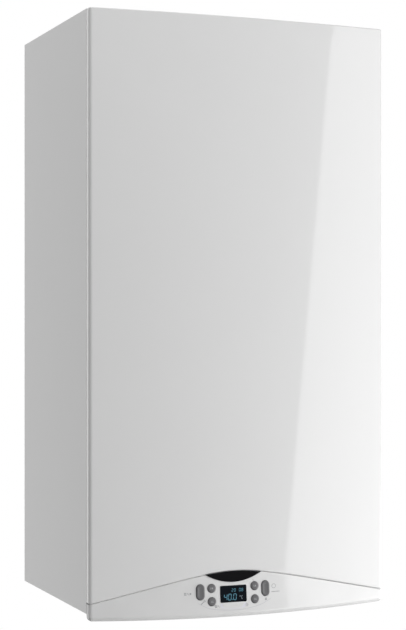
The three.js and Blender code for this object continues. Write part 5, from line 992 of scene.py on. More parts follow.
def fascia_pieces():
    """The moulding less its openings, then its tray, its hinge ears and the lugs of the oblong keys."""
    shell = fascia_shell()
    deep = (-5.0, 6.5)
    shell = carved(shell, in_plane(extruded(rounded_box((-17.75, 17.75), (-10.4, 10.4), 1.4), deep, "y")))
    lugs = []
    for name, (u, w, face) in key_places().items():
        if "button" in name:
            cutter = turned([(0, deep[0]), (5.7, deep[0]), (5.7, deep[1]), (0, deep[1])], "y", (u, w), 64)
        else:
            cutter = extruded(stadium(11.6, 20.1, 16, (u, w)), deep, "y")
            for side in (-1, 1):
                near = 10.8 / 2 + 0.5
                x = sorted((u + side * near, u + side * (near + 1.7)))
                block = cuboid(x, (face + 1.5, face + 4.2 + 2), (w - 3.2, w + 3.2))
                slot = cuboid((x[0] - 1, x[1] + 1), (face + 2.7, face + 8), (w - 1.5, w + 1.5))
                lugs.append(in_plane(carved(block, slot)))
        shell = carved(shell, in_plane(cutter))
    shell = carved(shell, in_plane(extruded(badge_outline(0.3), (deep[0], 1.4), "y")))
    stations = front_stations(40, 3)
    front = stations[:, :2] + stations[:, 2:] * (
        fascia_bulge(stations[:, :1], 1.0) - FASCIA_WALL * 0.75
    )
    back_y, side_x = FRONT_Y + 35, HALF - 15
    corners = [(side_x, FRONT_Y + RETURN), (side_x, back_y), (-side_x, back_y), (-side_x, FRONT_Y + RETURN)]
    tray = extruded(np.vstack([front, corners]), (1.0, 3.5), "z")
    ears = []
    for side in (-1, 1):
        x = (side * 150 - 4.0, side * 150 + 4.0)
        foot = FRONT_Y + 35 - 10.0
        profile = [(foot, 2.0), (foot, 8.5)]
        profile += [(HINGE_Y + 5 * math.sin(a), HINGE_Z + 5 * math.cos(a)) for a in np.linspace(0, 3.0, 14)]
        hole = rod(2.3, (x[0] - 1, x[1] + 1), "x", (HINGE_Y, HINGE_Z), 0.1, 24)
        ears.append(carved(extruded(profile, x, "x"), hole))
    return [shell, tray] + ears + lugs


def round_key(face):
    """A shallow dome on a skirt, with the flange that keeps it in, and its stem."""
    flange = face + FASCIA_WALL + 0.5
    profile = [(0, face - 1.32), (3.6, face - 1.25), (4.7, face - 1.0), (5.3, face - 0.35)]
    profile += [(5.3, flange), (6.0, flange), (6.0, flange + 1), (2, flange + 1), (2, flange + 4)]
    profile += [(0, flange + 4)]
    return turned(softened(profile, 0.45, 3), "y", sides=56)


def oblong_key(face):
    """Stacked ovals: a skirt, a softened rim, and a pad that falls a little towards its middle."""
    insets = [(0.0, face + 5.0), (0.0, face - 0.4), (0.12, face - 0.8), (0.45, face - 1.12)]
    insets += [(0.95, face - 1.27), (1.6, face - 1.3), (2.6, face - 1.18), (3.8, face - 1.05)]
    outer = np.stack([
        np.column_stack([oval[:, 0], np.full(len(oval), y), oval[:, 1]])
        for inset, y in insets
        for oval in [stadium(10.8 - 2 * inset, 19.3 - 2 * inset, 18)]
    ])
    count = outer.shape[1]
    faces = lattice(len(insets), count, False, True)
    faces += [list(range(count)), [(len(insets) - 1) * count + i for i in range(count)][::-1]]
    pins = rod(1.2, (-7.2, 7.2), "x", (face + 4.2, 0.0), 0.3, 20)
    return [Shell(outer, faces).facing_out(), pins]


def segment_digit(digit, u, w, height, width, thick):
    """A digit of seven bars, each bar a six-sided strip between two ends of the figure's frame."""
    half, waist = width / 2, height / 2
    ends = {
        "a": ((-half, waist), (half, waist)),
        "b": ((half, 0), (half, waist)),
        "c": ((half, -waist), (half, 0)),
        "d": ((-half, -waist), (half, -waist)),
        "e": ((-half, -waist), (-half, 0)),
        "f": ((-half, 0), (-half, waist)),
        "g": ((-half, 0), (half, 0)),
    }
    lit = {"0": "abcdef", "1": "bc", "2": "abged", "3": "abgcd", "4": "fgbc", "5": "afgcd", "6": "afgedc"}
    lit.update({"7": "abc", "8": "abcdefg", "9": "abcdfg", "C": "afed", "-": "g"})
    bars = []
    for bar in lit[digit]:
        a, b = (np.array(end, float) for end in ends[bar])
        along = (b - a) / np.linalg.norm(b - a)
        across = np.array([-along[1], along[0]]) * thick / 2
        a, b = a + along * thick * 0.12, b - along * thick * 0.12
        tip = along * thick / 2
        outline = np.array([a, a + tip + across, b - tip + across, b, b - tip - across, a + tip - across])
        outline[:, 0] += outline[:, 1] * 0.08
        bars.append(outline + (u, w))
    return bars


def flat_sheet(outlines, y, thickness=0.06):
    """Thin plates in the controls' plane, their backs at y."""
    return sum((extruded(outline, (y - thickness, y), "y") for outline in outlines), 0)


def decal(outline, proud=0.05, hole=None):
    """Ink on the fascia's curved face: the outline's points laid on it, closed by its own thickness.

    With a hole, an outline of as many points, the ink is the band between the two.
    """
    outer = np.asarray(outline, float)
    count = len(outer)
    if hole is None:
        grid = np.vstack([on_face(outer, proud), on_face(outer, -0.15)])
        faces = lattice(2, count, False, True)
        faces += [list(range(count)), list(range(count, 2 * count))[::-1]]
        return Shell(grid, faces).facing_out()
    inner = np.asarray(hole, float)
    rings = [on_face(outer, proud), on_face(outer, -0.15), on_face(inner, -0.15), on_face(inner, proud)]
    return Shell(np.vstack(rings), lattice(4, count, True, True)).facing_out()


def stroke(points, width, proud=0.05):
    """A line of ink: the path's points moved half a width to each side of its own direction."""
    path = np.asarray(points, float)
    along = np.gradient(path, axis=0)
    along /= np.linalg.norm(along, axis=1, keepdims=True)
    across = np.column_stack([-along[:, 1], along[:, 0]]) * width / 2
    return decal(np.vstack([path + across, (path - across)[::-1]]), proud)


def ring_mark(u, w, radius, width, sides=40):
    return decal(around(radius, sides, (u, w)), hole=around(radius - width, sides, (u, w)))


def decal_ring(u, w, radius, width, sides=20):
    """A flat ring in the controls' plane, on the face of the display."""
    outer, inner = around(radius, sides, (u, w)), around(radius - width, sides, (u, w))
    rings = [np.column_stack([ring[:, 0], np.full(sides, y), ring[:, 1]])
             for ring, y in ((outer, -0.16), (outer, -0.1), (inner, -0.1), (inner, -0.16))]
    return Shell(np.vstack(rings), lattice(4, sides, True, True)).facing_out()


def drop_mark(u, w, size):
    """A falling drop: x = size/2 sin a sin^2(a/2), z = size/2 cos a."""
    a = np.linspace(0, 2 * math.pi, 28, endpoint=False)
    return decal(np.column_stack([u + size / 2 * np.sin(a) * np.sin(a / 2) ** 2, w + size / 2 * np.cos(a)]))


def sun_mark(u, w, size, rays=8):
    marks = [ring_mark(u, w, size * 0.24, size * 0.09, 24)]
    for k in range(rays):
        a = 2 * math.pi * k / rays
        d = np.array([math.cos(a), math.sin(a)])
        marks.append(stroke([d * size * 0.34 + (u, w), d * size * 0.5 + (u, w)], size * 0.08))
    return sum(marks, 0)


def heating_mark(u, w, size):
    """Three upright bars between two rails, a radiator in outline."""
    half = size / 2
    marks = [stroke([(u - half, w + s * half * 0.7), (u + half, w + s * half * 0.7)], 0.35) for s in (-1, 1)]
    columns = [u + k * half * 0.6 for k in (-1, 0, 1)]
    marks += [stroke([(column, w - half), (column, w + half)], 0.45) for column in columns]
    return sum(marks, 0)


def tap_mark(u, w, size):
    """A spout, its handle and a drop below it."""
    arm = [(u - size * 0.45, w), (u + size * 0.1, w), (u + size * 0.3, w - size * 0.1)]
    arm += [(u + size * 0.36, w - size * 0.32)]
    marks = [stroke(softened(arm, size * 0.2, 4), size * 0.14)]
    marks.append(stroke([(u - size * 0.12, w), (u - size * 0.12, w + size * 0.3)], size * 0.1))
    marks.append(stroke([(u - size * 0.32, w + size * 0.3), (u + size * 0.08, w + size * 0.3)], size * 0.1))
    marks.append(drop_mark(u + size * 0.36, w - size * 0.52, size * 0.26))
    return sum(marks, 0)


# ---------------------------------------------------------------------------------------------
# Sizes and colours that a user would change


class BoilerLook(bpy.types.PropertyGroup):
    """Colours of the pieces that show."""

    panel_white: FloatVectorProperty(
        name="Panel white", description="Paint of the casing", subtype="COLOR", size=3, min=0, max=1,
        default=(0.80, 0.80, 0.80),
    )
    fascia_white: FloatVectorProperty(
        name="Fascia white", description="Plastic of the control fascia", subtype="COLOR", size=3,
        min=0, max=1, default=(0.80, 0.80, 0.80),
    )
    key_grey: FloatVectorProperty(
        name="Key grey", description="Plastic of the keys", subtype="COLOR", size=3, min=0, max=1,
        default=(0.105, 0.105, 0.11),
    )


class BoilerStage(bpy.types.PropertyGroup):
    """Where the camera stands, and how bright each light is."""

    camera_place: FloatVectorProperty(
        name="Camera", description="Where the camera stands", subtype="TRANSLATION", unit="LENGTH",
        size=3, default=(-0.8034, -2.1711, -0.3313),
    )
    camera_turn: FloatProperty(
        name="Turn", description="The camera's turn about the upright", subtype="ANGLE",
        default=math.radians(-21.94),
    )
    lens: FloatProperty(name="Lens", description="Focal length in millimetres", default=92.38)
    camera_shift: FloatProperty(
        name="Shift", description="Rise of the view's middle, in image heights", default=0.01725
    )
    daylight: FloatProperty(
        name="Daylight", description="Strength of the even light from all round", default=0.215
    )
    softbox: FloatProperty(
        name="Softbox", description="Radiance of the light that the panel mirrors", default=2.33
    )
    low_right: FloatProperty(
        name="Low right", description="Radiance of the light low on the right", default=8.6
    )
    high_left: FloatProperty(
        name="High left", description="Radiance of the light high on the left", default=2.7
    )
    overhead: FloatProperty(
        name="Overhead", description="Radiance of the light over the casing", default=1.9
    )


class BoilerDetail(bpy.types.PropertyGroup):
    """Counts and sizes of repeated details."""

    door_bolts: IntProperty(
        name="Door bolts", description="Bolts round the burner door", min=4, max=12, default=8
    )
    motor_fins: IntProperty(
        name="Motor fins", description="Cooling fins round each motor", min=12, max=60, default=30
    )
    thread_pitch: FloatProperty(
        name="Thread pitch", description="Pitch of the threads on the tails, in millimetres",
        default=1.8, min=0.8, max=3.0,
    )
    digit_height: FloatProperty(
        name="Digit height", description="Height of the large digits, in millimetres", default=7.2
    )


def stage():
    return bpy.context.scene.boiler_stage


def detail():
    return bpy.context.scene.boiler_detail


# ---------------------------------------------------------------------------------------------
# Operators


class BOILER_OT_stage(bpy.types.Operator):
    """The camera, the softboxes, white all round and a pale floor"""

    bl_idname = "boiler.stage"
    bl_label = "Stage"

    def execute(self, context):
        scene = context.scene
        scene.view_settings.view_transform = "Standard"
        camera = bpy.data.objects.new("camera", bpy.data.cameras.new("camera"))
        scene.collection.objects.link(camera)
        camera.data.lens = stage().lens
        camera.data.shift_y = stage().camera_shift
        camera.location = stage().camera_place
        camera.rotation_euler = (math.radians(90), 0, stage().camera_turn)
        scene.camera = camera
        # The left edge of this light is mirrored in the crowned panel as a sharp, slanting boundary.
        top, low = np.array([1.2157, -1.987, 0.396]), np.array([1.0065, -2.075, -0.863])
        edge = (top - low) / np.linalg.norm(top - low)
        across = squared(np.array([0.906, 0.423, 0.0]), edge)
        lit_panel("mirrored softbox", (top + low) / 2 + across * 0.5, across, edge, 1.0, 3.2, stage().softbox)
        aim = np.array([0.0, -0.3, -0.3])
        for name, place, size, radiance in (
            ("low right", (1.5, -0.9, -1.1), 0.7, stage().low_right),
            ("high left", (-0.6, -1.1, 0.75), 0.6, stage().high_left),
            ("overhead", (0.2, -1.3, 2.2), 1.4, stage().overhead),
        ):
            away = np.array(place) - aim
            across = squared(np.array([1.0, 0.0, 0.0]), away / np.linalg.norm(away))
            rise = np.cross(away / np.linalg.norm(away), across)
            lit_panel(name, np.array(place), across, rise, size, size, radiance)
        self.white_world(scene)
        floor = bpy.data.meshes.new("floor")
        disc = np.column_stack([around(2.2, 96), np.full(96, -1.6)])
        floor.from_pydata(disc.tolist(), [], [list(range(96))])
        floor.materials.append(material("pale floor"))
        ground = bpy.data.objects.new("floor", floor)
        scene.collection.objects.link(ground)
        return {"FINISHED"}

    def white_world(self, scene):
        """White for the camera and for mirrored or transmitted rays, and daylight for the rest."""
        world = bpy.data.worlds.new("white room")
        scene.world = world
        world.use_nodes = True
        tree = world.node_tree
        tree.nodes.clear()
        path = tree.nodes.new("ShaderNodeLightPath")
        seen = path.outputs["Is Camera Ray"]
        for ray in ("Is Glossy Ray", "Is Transmission Ray"):
            either = tree.nodes.new("ShaderNodeMath")
            either.operation = "MAXIMUM"
            tree.links.new(seen, either.inputs[0])
            tree.links.new(path.outputs[ray], either.inputs[1])
            seen = either.outputs[0]
        shades = []
        for strength in (stage().daylight, 1.0):
            shade_of_white = tree.nodes.new("ShaderNodeBackground")
            shade_of_white.inputs["Color"].default_value = (1, 1, 1, 1)
            shade_of_white.inputs["Strength"].default_value = strength
            shades.append(shade_of_white)
        mix = tree.nodes.new("ShaderNodeMixShader")
        out = tree.nodes.new("ShaderNodeOutputWorld")
        tree.links.new(seen, mix.inputs[0])
        tree.links.new(shades[0].outputs[0], mix.inputs[1])
        tree.links.new(shades[1].outputs[0], mix.inputs[2])
        tree.links.new(mix.outputs[0], out.inputs[0])


def squared(direction, other):
    """A unit direction turned square to another: d - o (d . o), brought to a length of one."""
    square = direction - other * (direction @ other)
    return square / np.linalg.norm(square)


def lit_panel(name, middle, across, rise, width, height, radiance):
    """A rectangular light; its power is radiance * pi * area. It shines along -(across x rise)."""
    light = bpy.data.lights.new(name, "AREA")
    light.shape = "RECTANGLE"
    light.size = width
    light.size_y = height
    light.energy = radiance * math.pi * width * height
    lamp = bpy.data.objects.new(name, light)
    bpy.context.scene.collection.objects.link(lamp)
    columns = [(*across, 0.0), (*rise, 0.0), (*np.cross(across, rise), 0.0), (*middle, 1.0)]
    lamp.matrix_world = columns


class BOILER_OT_front_panel(bpy.types.Operator):
    """The crowned front panel with its folds, and the two screws that hold it"""

    bl_idname = "boiler.front_panel"
    bl_label = "Front panel"

    def execute(self, context):
        skin = piece(
            "front_panel_skin", [(front_panel_skin(), "white steel")], "front_panel",
            ["front_panel"], crease=50.0,
        )
        sheet = skin.modifiers.new("sheet", "SOLIDIFY")
        sheet.thickness = 0.0012
        sheet.offset = -1.0
        sheet.use_even_offset = True
        parts = [(fold, "white steel") for fold in front_panel_inside()]
        piece("front_panel_folds", parts, "front_panel", [])
        for side, name in ((-1, "casing_screw_left"), (1, "casing_screw_right")):
            parts = [(shell, "zinc screw") for shell in casing_screw(side)]
            piece(name + "_head", parts, body_of(name), [name])
        return {"FINISHED"}


def body_of(node):
    """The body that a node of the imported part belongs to."""
    bodies = frame["record"]["behaviour"]["bodies"]
    return next(body for body, nodes in bodies.items() if node in nodes)


class BOILER_OT_side_panels(bpy.types.Operator):
    """The two side panels: folded sheet, painted like the front"""

    bl_idname = "boiler.side_panels"
    bl_label = "Side panels"

    def execute(self, context):
        for node in ("left_side_panel", "right_side_panel"):
            dress(node, "white steel", 0.5)
        return {"FINISHED"}


class BOILER_OT_fascia(bpy.types.Operator):
    """The control fascia, with its openings, tray and hinge ears"""

    bl_idname = "boiler.fascia"
    bl_label = "Control fascia"

    def execute(self, context):
        parts = [(shell, "white plastic") for shell in fascia_pieces()]
        piece(
            "fascia_moulding", parts, "control_panel", ["control_fascia"], crease=35.0
        )
        badge = extruded(badge_outline(-0.15), (-0.5, 1.0), "y")
        piece(
            "badge_lens", [(in_plane(badge), "gloss black")], "control_panel", ["badge_plate"],
            bevel=0.35,
        )
        return {"FINISHED"}


class BOILER_OT_display(bpy.types.Operator):
    """The display's lens and the lit figures behind it"""

    bl_idname = "boiler.display"
    bl_label = "Display"

    def execute(self, context):
        lens = extruded(rounded_box((-17.45, 17.45), (-10.1, 10.1), 1.2), (-0.1, 2.9), "y")
        rim = extruded(rounded_box((-18.95, 18.95), (-11.6, 11.6), 1.5), (2.8, 4.0), "y")
        piece(
            "display_lens", [(in_plane(lens), "display glass"), (in_plane(rim), "gloss black")],
            "control_panel", ["display_window"], bevel=0.3,
        )
        tall = detail().digit_height
        bars = []
        for digit, u in (("4", -10.6), ("0", -5.0), ("0", 1.9)):
            bars += segment_digit(digit, u, -3.9, tall, tall * 0.52, tall * 0.13)
        small = tall * 0.5
        for digit, u in (("2", -1.2), ("0", 2.0), ("0", 8.8), ("8", 12.0)):
            bars += segment_digit(digit, u, 4.4, small, small * 0.5, small * 0.15)
        point = around(0.5, 16, (-1.6, -7.2))
        units = segment_digit("C", 11.6, -4.8, small, small * 0.5, small * 0.14)
        degree = decal_ring(8.9, -3.4, 0.8, 0.35)
        lit = flat_sheet(bars + [point], -0.1)
        dim = flat_sheet(units, -0.1) + degree
        piece(
            "lit_figures", [(in_plane(lit), "lit segments"), (in_plane(dim), "lit units")],
            "control_panel", [],
        )
        dress("display_board", "circuit board", 0.2)
        dress("control_rear_cover", "grey plastic", 0.6)
        return {"FINISHED"}


class BOILER_OT_keys(bpy.types.Operator):
    """The four round keys and the two oblong ones"""

    bl_idname = "boiler.keys"
    bl_label = "Keys"

    def execute(self, context):
        for name, (u, w, face) in key_places().items():
            shapes = [round_key(face)] if "button" in name else oblong_key(face)
            parts = [(in_plane(shape.moved(u, 0, w)), "key grey") for shape in shapes]
            print_ink = "dim ink" if name.endswith("rocker") else "light ink"
            parts += [(in_plane(shape), print_ink) for shape in self.marks(name, u, w, face)]
            piece(name + "_cap", parts, name, [name], crease=40.0)
        return {"FINISHED"}

    def marks(self, name, u, w, face):
        """Fine moulded marks: bars on the round keys, a faint plus and minus on the oblong ones."""
        top = face - 1.3
        if name.endswith("rocker"):
            bars = [((u - 1.1, u + 1.1), (w + 5.6, w + 5.9)), ((u - 0.15, u + 0.15), (w + 4.65, w + 6.85))]
            bars.append(((u - 1.1, u + 1.1), (w - 5.9, w - 5.6)))
        elif name.startswith("upper"):
            bars = [((u - 1.9, u - 0.4), (w + s, w + s + 0.4)) for s in (-1.1, -0.2, 0.7)]
            bars.append(((u + 0.5, u + 1.6), (w - 1.1, w + 1.1)))
        else:
            bars = [((u - 1.9, u + 1.9), (w + s, w + s + 0.4)) for s in (-1.0, 0.5)]
        return [cuboid(x, (top - 0.04, top + 0.5), z) for x, z in bars]


class BOILER_OT_printed_symbols(bpy.types.Operator):
    """Plain pictograms in grey ink beside the keys, the faint film under them, and a grey line of painted shade
    along the raised overlay's edge
    """

    bl_idname = "boiler.printed_symbols"
    bl_label = "Printed symbols"

    def execute(self, context):
        marks = [
            heating_mark(-63.6, 2.8, 3.4),
            tap_mark(-59.8, 2.8, 3.2),
            heating_mark(-56.8, 2.7, 2.2),
            stroke([(-43.6, -11.2), (-39.2, -7.6)], 0.75),
            ring_mark(-38.6, -7.1, 1.2, 0.6, 20),
            heating_mark(-23.8, -14.6, 3.2),
            tap_mark(-20.4, -14.4, 3.0),
            sun_mark(17.6, -14.5, 5.0),
            ring_mark(55.6, 6.3, 2.8, 0.45),
            heating_mark(44.0, -9.2, 3.0),
            tap_mark(27.6, 15.0, 2.4),
        ]
        marks += [stroke([(52.4 + 1.9 * k, -0.7), (53.7 + 1.9 * k, -0.7)], 0.9) for k in range(6)]
        # The grey line round the keys is painted shade along the edge of the raised overlay, not print
        arc = softened([(-47.0, -9.6), (-32.0, -17.6), (4.0, -21.2), (36.0, -16.4), (51.0, -8.8)], 15.0, 10)
        outline = stroke(arc, 0.45, 0.04)
        film = softened(
            [(-18.4, -11.4), (-17.0, -17.0), (2.0, -18.9), (16.0, -17.2), (18.4, -11.4)], 3.0, 4, ring=True
        )
        piece(
            "printed_film", [(outline, "pale ink"), (decal(film, 0.03), "lavender film")], "control_panel",
            [],
        )
        piece("pictograms", [(sum(marks, 0), "grey ink")], "control_panel", [])
        return {"FINISHED"}



# ---------------------------------------------------------------------------------------------
# Pieces inside the casing


def extent(node):
    """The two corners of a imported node's box, in the casing's millimetres."""
    return [np.array(corner) * 1000 + (0, 0, HANGING_HEIGHT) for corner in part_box(node)]


def ring_of(count, radius, start=math.pi / 4):
    """Evenly spaced points round the origin: (r cos a, r sin a), from a start angle."""
    angles = start + 2 * math.pi * np.arange(count) / count
    return radius * np.cos(angles), radius * np.sin(angles)


def fluted(radius, span, axis, centre, flutes, depth, sides=144):
    """A knob with finger flutes: r(a) = radius - depth (1 + cos(flutes a)) / 2, softened at both ends."""
    low, high = span
    angle = np.linspace(0, 2 * math.pi, sides, endpoint=False)[None, :]
    shares = np.array([0.80, 0.94, 1.0, 1.0, 0.94, 0.80])[:, None]
    height = np.array([low, low + 0.3, low + 1.2, high - 1.2, high - 0.3, high])[:, None]
    r = (radius - depth * (1 + np.cos(flutes * angle)) / 2) * shares
    grid = np.stack([r * np.cos(angle), r * np.sin(angle), height + 0 * angle], -1).reshape(-1, 3)
    rows = len(height)
    faces = lattice(rows, sides, False, True)
    faces += [list(range(sides))[::-1], list(range((rows - 1) * sides, rows * sides))]
    return Shell(laid(grid, axis, centre), faces).facing_out()


def fins(radius, reach, span, axis, centre, count, thickness=1.6):
    """Blades round a motor: one thin block, turned about the axis once for each."""
    middle = np.insert(np.array(centre, float), "xyz".index(axis), 0.0)
    blade = extruded(
        rounded_box((radius, reach), (-thickness / 2, thickness / 2), thickness * 0.3, 2), span, "z"
    )
    blade = Shell(laid(blade.points, axis, centre), blade.faces).facing_out()
    return sum((blade.spun(axis, 360.0 * k / count, middle) for k in range(count)), 0)


def tail_fitting(name, top):
    """A copper tail: its tube, the brass hexagon it is turned with, and the thread for the union nut."""
    x = TAILS[name]
    centre = (x, TAIL_Y)
    bore = rod(7.0, (-20, 2), "z", centre, 0.05, 40)
    thread = carved(threaded(12.2, (-18.0, -8.5), "z", centre, detail().thread_pitch, 0.9, 56), bore)
    hexagonal = carved(hexagon(24.0, (-8.5, 0.0), "z", centre), bore)
    collar = pipe_ring(10.2, 8.0, (-0.2, 3.0), "z", centre)
    tube_wall = pipe_ring(9.0, 7.0, (-0.5, top), "z", centre)
    return [(thread, "brass"), (hexagonal, "brass"), (collar, "brass"), (tube_wall, "copper")]


def plate_pack():
    """Twenty pressed plates with brazed seams between them, and the port bosses on the end plate."""
    count, back, front = 20, -128.3, -184.3
    pitch = (back - front) / count
    parts = []
    for k in range(count):
        y = front + k * pitch
        inset = 0.0 if k % 2 else 0.8
        plate = rounded_box((-100 + inset, 100 - inset), (62 + inset, 132 - inset), 10, 5)
        seam = rounded_box((-98.2, 98.2), (63.8, 130.2), 9, 5)
        parts.append((extruded(plate, (y, y + pitch * 0.62), "y"), "stainless"))
        parts.append((extruded(seam, (y + pitch * 0.6, y + pitch * 1.01), "y"), "copper"))
    for x in (-78, 78):
        for z in (78, 116):
            parts.append((rod(11.0, (front - 0.6, front + 0.4), "y", (x, z), 0.4, 40), "stainless"))
    return parts


def vessel_shell():
    """Two pressed dishes crimped at a rim, turned about the x axis."""
    half, r = 31.0, 114.0
    side = [(0.0, -half), (r * 0.66, -half), (r * 0.86, -half * 0.8), (r * 0.965, -half * 0.45)]
    side += [(r, -5.0), (r, -3.0), (r + 4, -2.6)]
    profile = side + [(a, -b) for a, b in reversed(side)]
    body = turned(softened(profile, 9.0, 5), "x", (-150.0, 580.0), 96)
    return body.moved(x=-161.0)


def trap_shell():
    """The trap's body, flanged lid and outlet, as one closed profile turned about the upright."""
    profile = [(7, -5), (9, -5), (9, 215), (20, 225), (28, 235), (28, 333), (31, 333), (31, 345)]
    profile += [(12, 345), (12, 357), (9, 357), (9, 341), (25, 341), (25, 235), (7, 225)]
    return turned(softened(profile, 1.2, 2, ring=True), "z", (-95.0, -215.0), 64, ring=True)


def ribbed_hose(path, radius, wall, rib, depth):
    """A hose whose radius swells with each rib: r + depth (cos(2 pi s / rib) - 1) / 2 at a distance s."""
    fine = dense(bent(path, 20.0, 10), rib / 6)
    along = np.concatenate([[0], np.cumsum(np.linalg.norm(np.diff(fine, axis=0), axis=1))])
    return tube(fine, radius + depth * (np.cos(2 * math.pi * along / rib) - 1) / 2, wall, 28)


def dial_marks():
    """Ticks round the gauge's dial, long ones numbered 0 to 4, all facing down."""
    centre = np.array([-30.0, -215.0])
    ticks, figures = [], []
    for k in range(21):
        angle = math.radians(-100 + 10 * k)
        d = np.array([math.sin(angle), -math.cos(angle)])
        inner = 12.4 if k % 5 == 0 else 13.8
        across = np.array([d[1], -d[0]]) * (0.28 if k % 5 == 0 else 0.15)
        a, b = centre + d * inner, centre + d * 15.4
        ticks.append(extruded([a + across, b + across, b - across, a - across], (5.72, 5.9), "z"))
        if k % 5 == 0:
            u, v = centre + d * 9.8
            for bar in segment_digit(str(k // 5), 0.0, 0.0, 2.8, 1.5, 0.4):
                figures.append(extruded(np.column_stack([u + bar[:, 0], v - bar[:, 1]]), (5.72, 5.9), "z"))
    return sum(ticks + figures, 0)


class BOILER_OT_carried_over(bpy.types.Operator):
    """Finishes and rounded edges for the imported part's own shapes"""

    bl_idname = "boiler.carried_over"
    bl_label = "Carried-over pieces"

    ROUNDED = {
        "wall_bracket": 0.5, "rear_frame": 0.5, "top_panel": 0.5, "bottom_plate": 0.4,
        "flue_collar": 0.8, "flue_duct": 0.5, "cable_gland": 0.5, "gauge_body": 0.5,
        "heat_exchanger_shell": 0.8, "heat_exchanger_coil": 0.6, "burner_tube": 0.4,
        "burner_door": 0.8, "fan_housing": 1.0, "air_gas_mixer": 0.8, "intake_silencer": 2.0,
        "gas_valve": 1.2, "flow_block": 1.4, "return_block": 1.4, "diverter_motor": 1.6,
        "pump_housing": 1.2, "pump_motor": 1.4, "main_board_box": 1.2, "main_board_lid": 1.0,
        "main_board": 0.3, "fan_impeller": 0.3, "pump_impeller": 0.3, "flow_turbine": 0.2,
        "diverter_spindle": 0.3, "gauge_pointer": 0.1,
    }

    def execute(self, context):
        for node, rounding in self.ROUNDED.items():
            slot = frame["nodes"][node].data.materials[0].name.split(".")[0]
            dress(node, slot.replace("_", " "), rounding)
        return {"FINISHED"}


class BOILER_OT_tails(bpy.types.Operator):
    """The five copper tails with their brass hexagons and threads"""

    bl_idname = "boiler.tails"
    bl_label = "Tails"

    def execute(self, context):
        for name in TAILS:
            node = name + "_tail"
            top = extent(node)[1][2]
            piece(node + "_fitting", tail_fitting(name, top), "chassis", [node])
        return {"FINISHED"}


class BOILER_OT_gauge_and_gland(bpy.types.Operator):
    """The pressure gauge's dial and bezel, and the gland's ribs and seal"""

    bl_idname = "boiler.gauge_and_gland"
    bl_label = "Gauge and gland"

    def execute(self, context):
        centre = (-30.0, -215.0)
        dial = rod(17.3, (5.85, 6.4), "z", centre, 0.1, 64)
        outer, inner = (around(r, 40, centre, math.radians(200))[:12] for r in (11.6, 10.9))
        band = extruded(np.vstack([outer, inner[::-1]]), (5.75, 5.95), "z")
        bezel = pipe_ring(20.6, 17.6, (-2.0, 1.2), "z", centre, 0.8, 72)
        piece(
            "gauge_dial",
            [(dial, "dial white"), (dial_marks(), "grey ink"), (band, "red plastic"), (bezel, "black plastic")],
            "chassis", [],
        )
        seal = pipe_ring(5.0, 3.2, (1.0, 20.0), "z", (150.0, -225.0), 0.6)
        grips = fins(10.6, 11.6, (4.5, 11.2), "z", (150.0, -225.0), 24, 1.1)
        piece(
            "gland_grip", [(seal, "rubber"), (grips, "black plastic")], "chassis", []
        )
        return {"FINISHED"}


class BOILER_OT_burner(bpy.types.Operator):
    """Bolts, a cast rib and a sight glass on the burner door; the electrode and its lead"""

    bl_idname = "boiler.burner"
    bl_label = "Burner"

    def execute(self, context):
        x, z = EXCHANGER
        parts = []
        for k in range(detail().door_bolts):
            angle = 2 * math.pi * (k + 0.5) / detail().door_bolts
            place = (x + 103.5 * math.sin(angle), DOOR_FRONT_Y, z + 103.5 * math.cos(angle))
            if abs(place[0]) > 34 or place[2] > z:
                parts.append((bolt(place, "y", -1.0, 4.4, 4.6), "zinc screw"))
        ring = pipe_ring(92.0, 88.0, (DOOR_FRONT_Y - 2.2, DOOR_FRONT_Y + 0.5), "y", (x, z), 0.9, 96)
        parts.append((ring, "cast aluminium"))
        sight = (x - 42.0, z + 34.0)
        parts.append((pipe_ring(11.0, 7.0, (DOOR_FRONT_Y - 4.0, DOOR_FRONT_Y + 0.5), "y", sight), "brass"))
        parts.append((rod(7.2, (DOOR_FRONT_Y - 2.0, DOOR_FRONT_Y + 0.4), "y", sight), "display glass"))
        piece("door_fittings", parts, "chassis", [])
        place = (x + 40.0, z + 32.0)
        face = DOOR_FRONT_Y - 0.3
        stem = [(0, face - 21), (3.6, face - 21), (5.6, face - 16), (4.8, face - 13), (5.6, face - 10)]
        stem += [(4.8, face - 7), (5.6, face - 4), (4.7, face), (4.7, DOOR_BACK_Y + 8), (0, DOOR_BACK_Y + 8)]
        insulator_body = turned(softened(stem, 0.8, 2), "y", place, 32)
        plate = rod(10.2, (face - 2.2, face + 0.1), "y", place, 0.5, 40)
        span = (DOOR_BACK_Y, DOOR_BACK_Y + 60)
        wires = [rod(1.1, span, "y", (place[0] + d, place[1]), 0.3, 12) for d in (-2.0, 2.0)]
        parts = [(insulator_body, "ceramic"), (plate, "stainless")] + [(wire, "stainless") for wire in wires]
        for d in (-7.0, 7.0):
            parts.append((slotted_screw((place[0] + d, face - 2.0, place[1]), "y", -1.0, 2.0, 1.3), "zinc screw"))
        piece("spark_electrode", parts, "chassis", [])
        dress("ignition_electrode", "ignition lead")
        return {"FINISHED"}


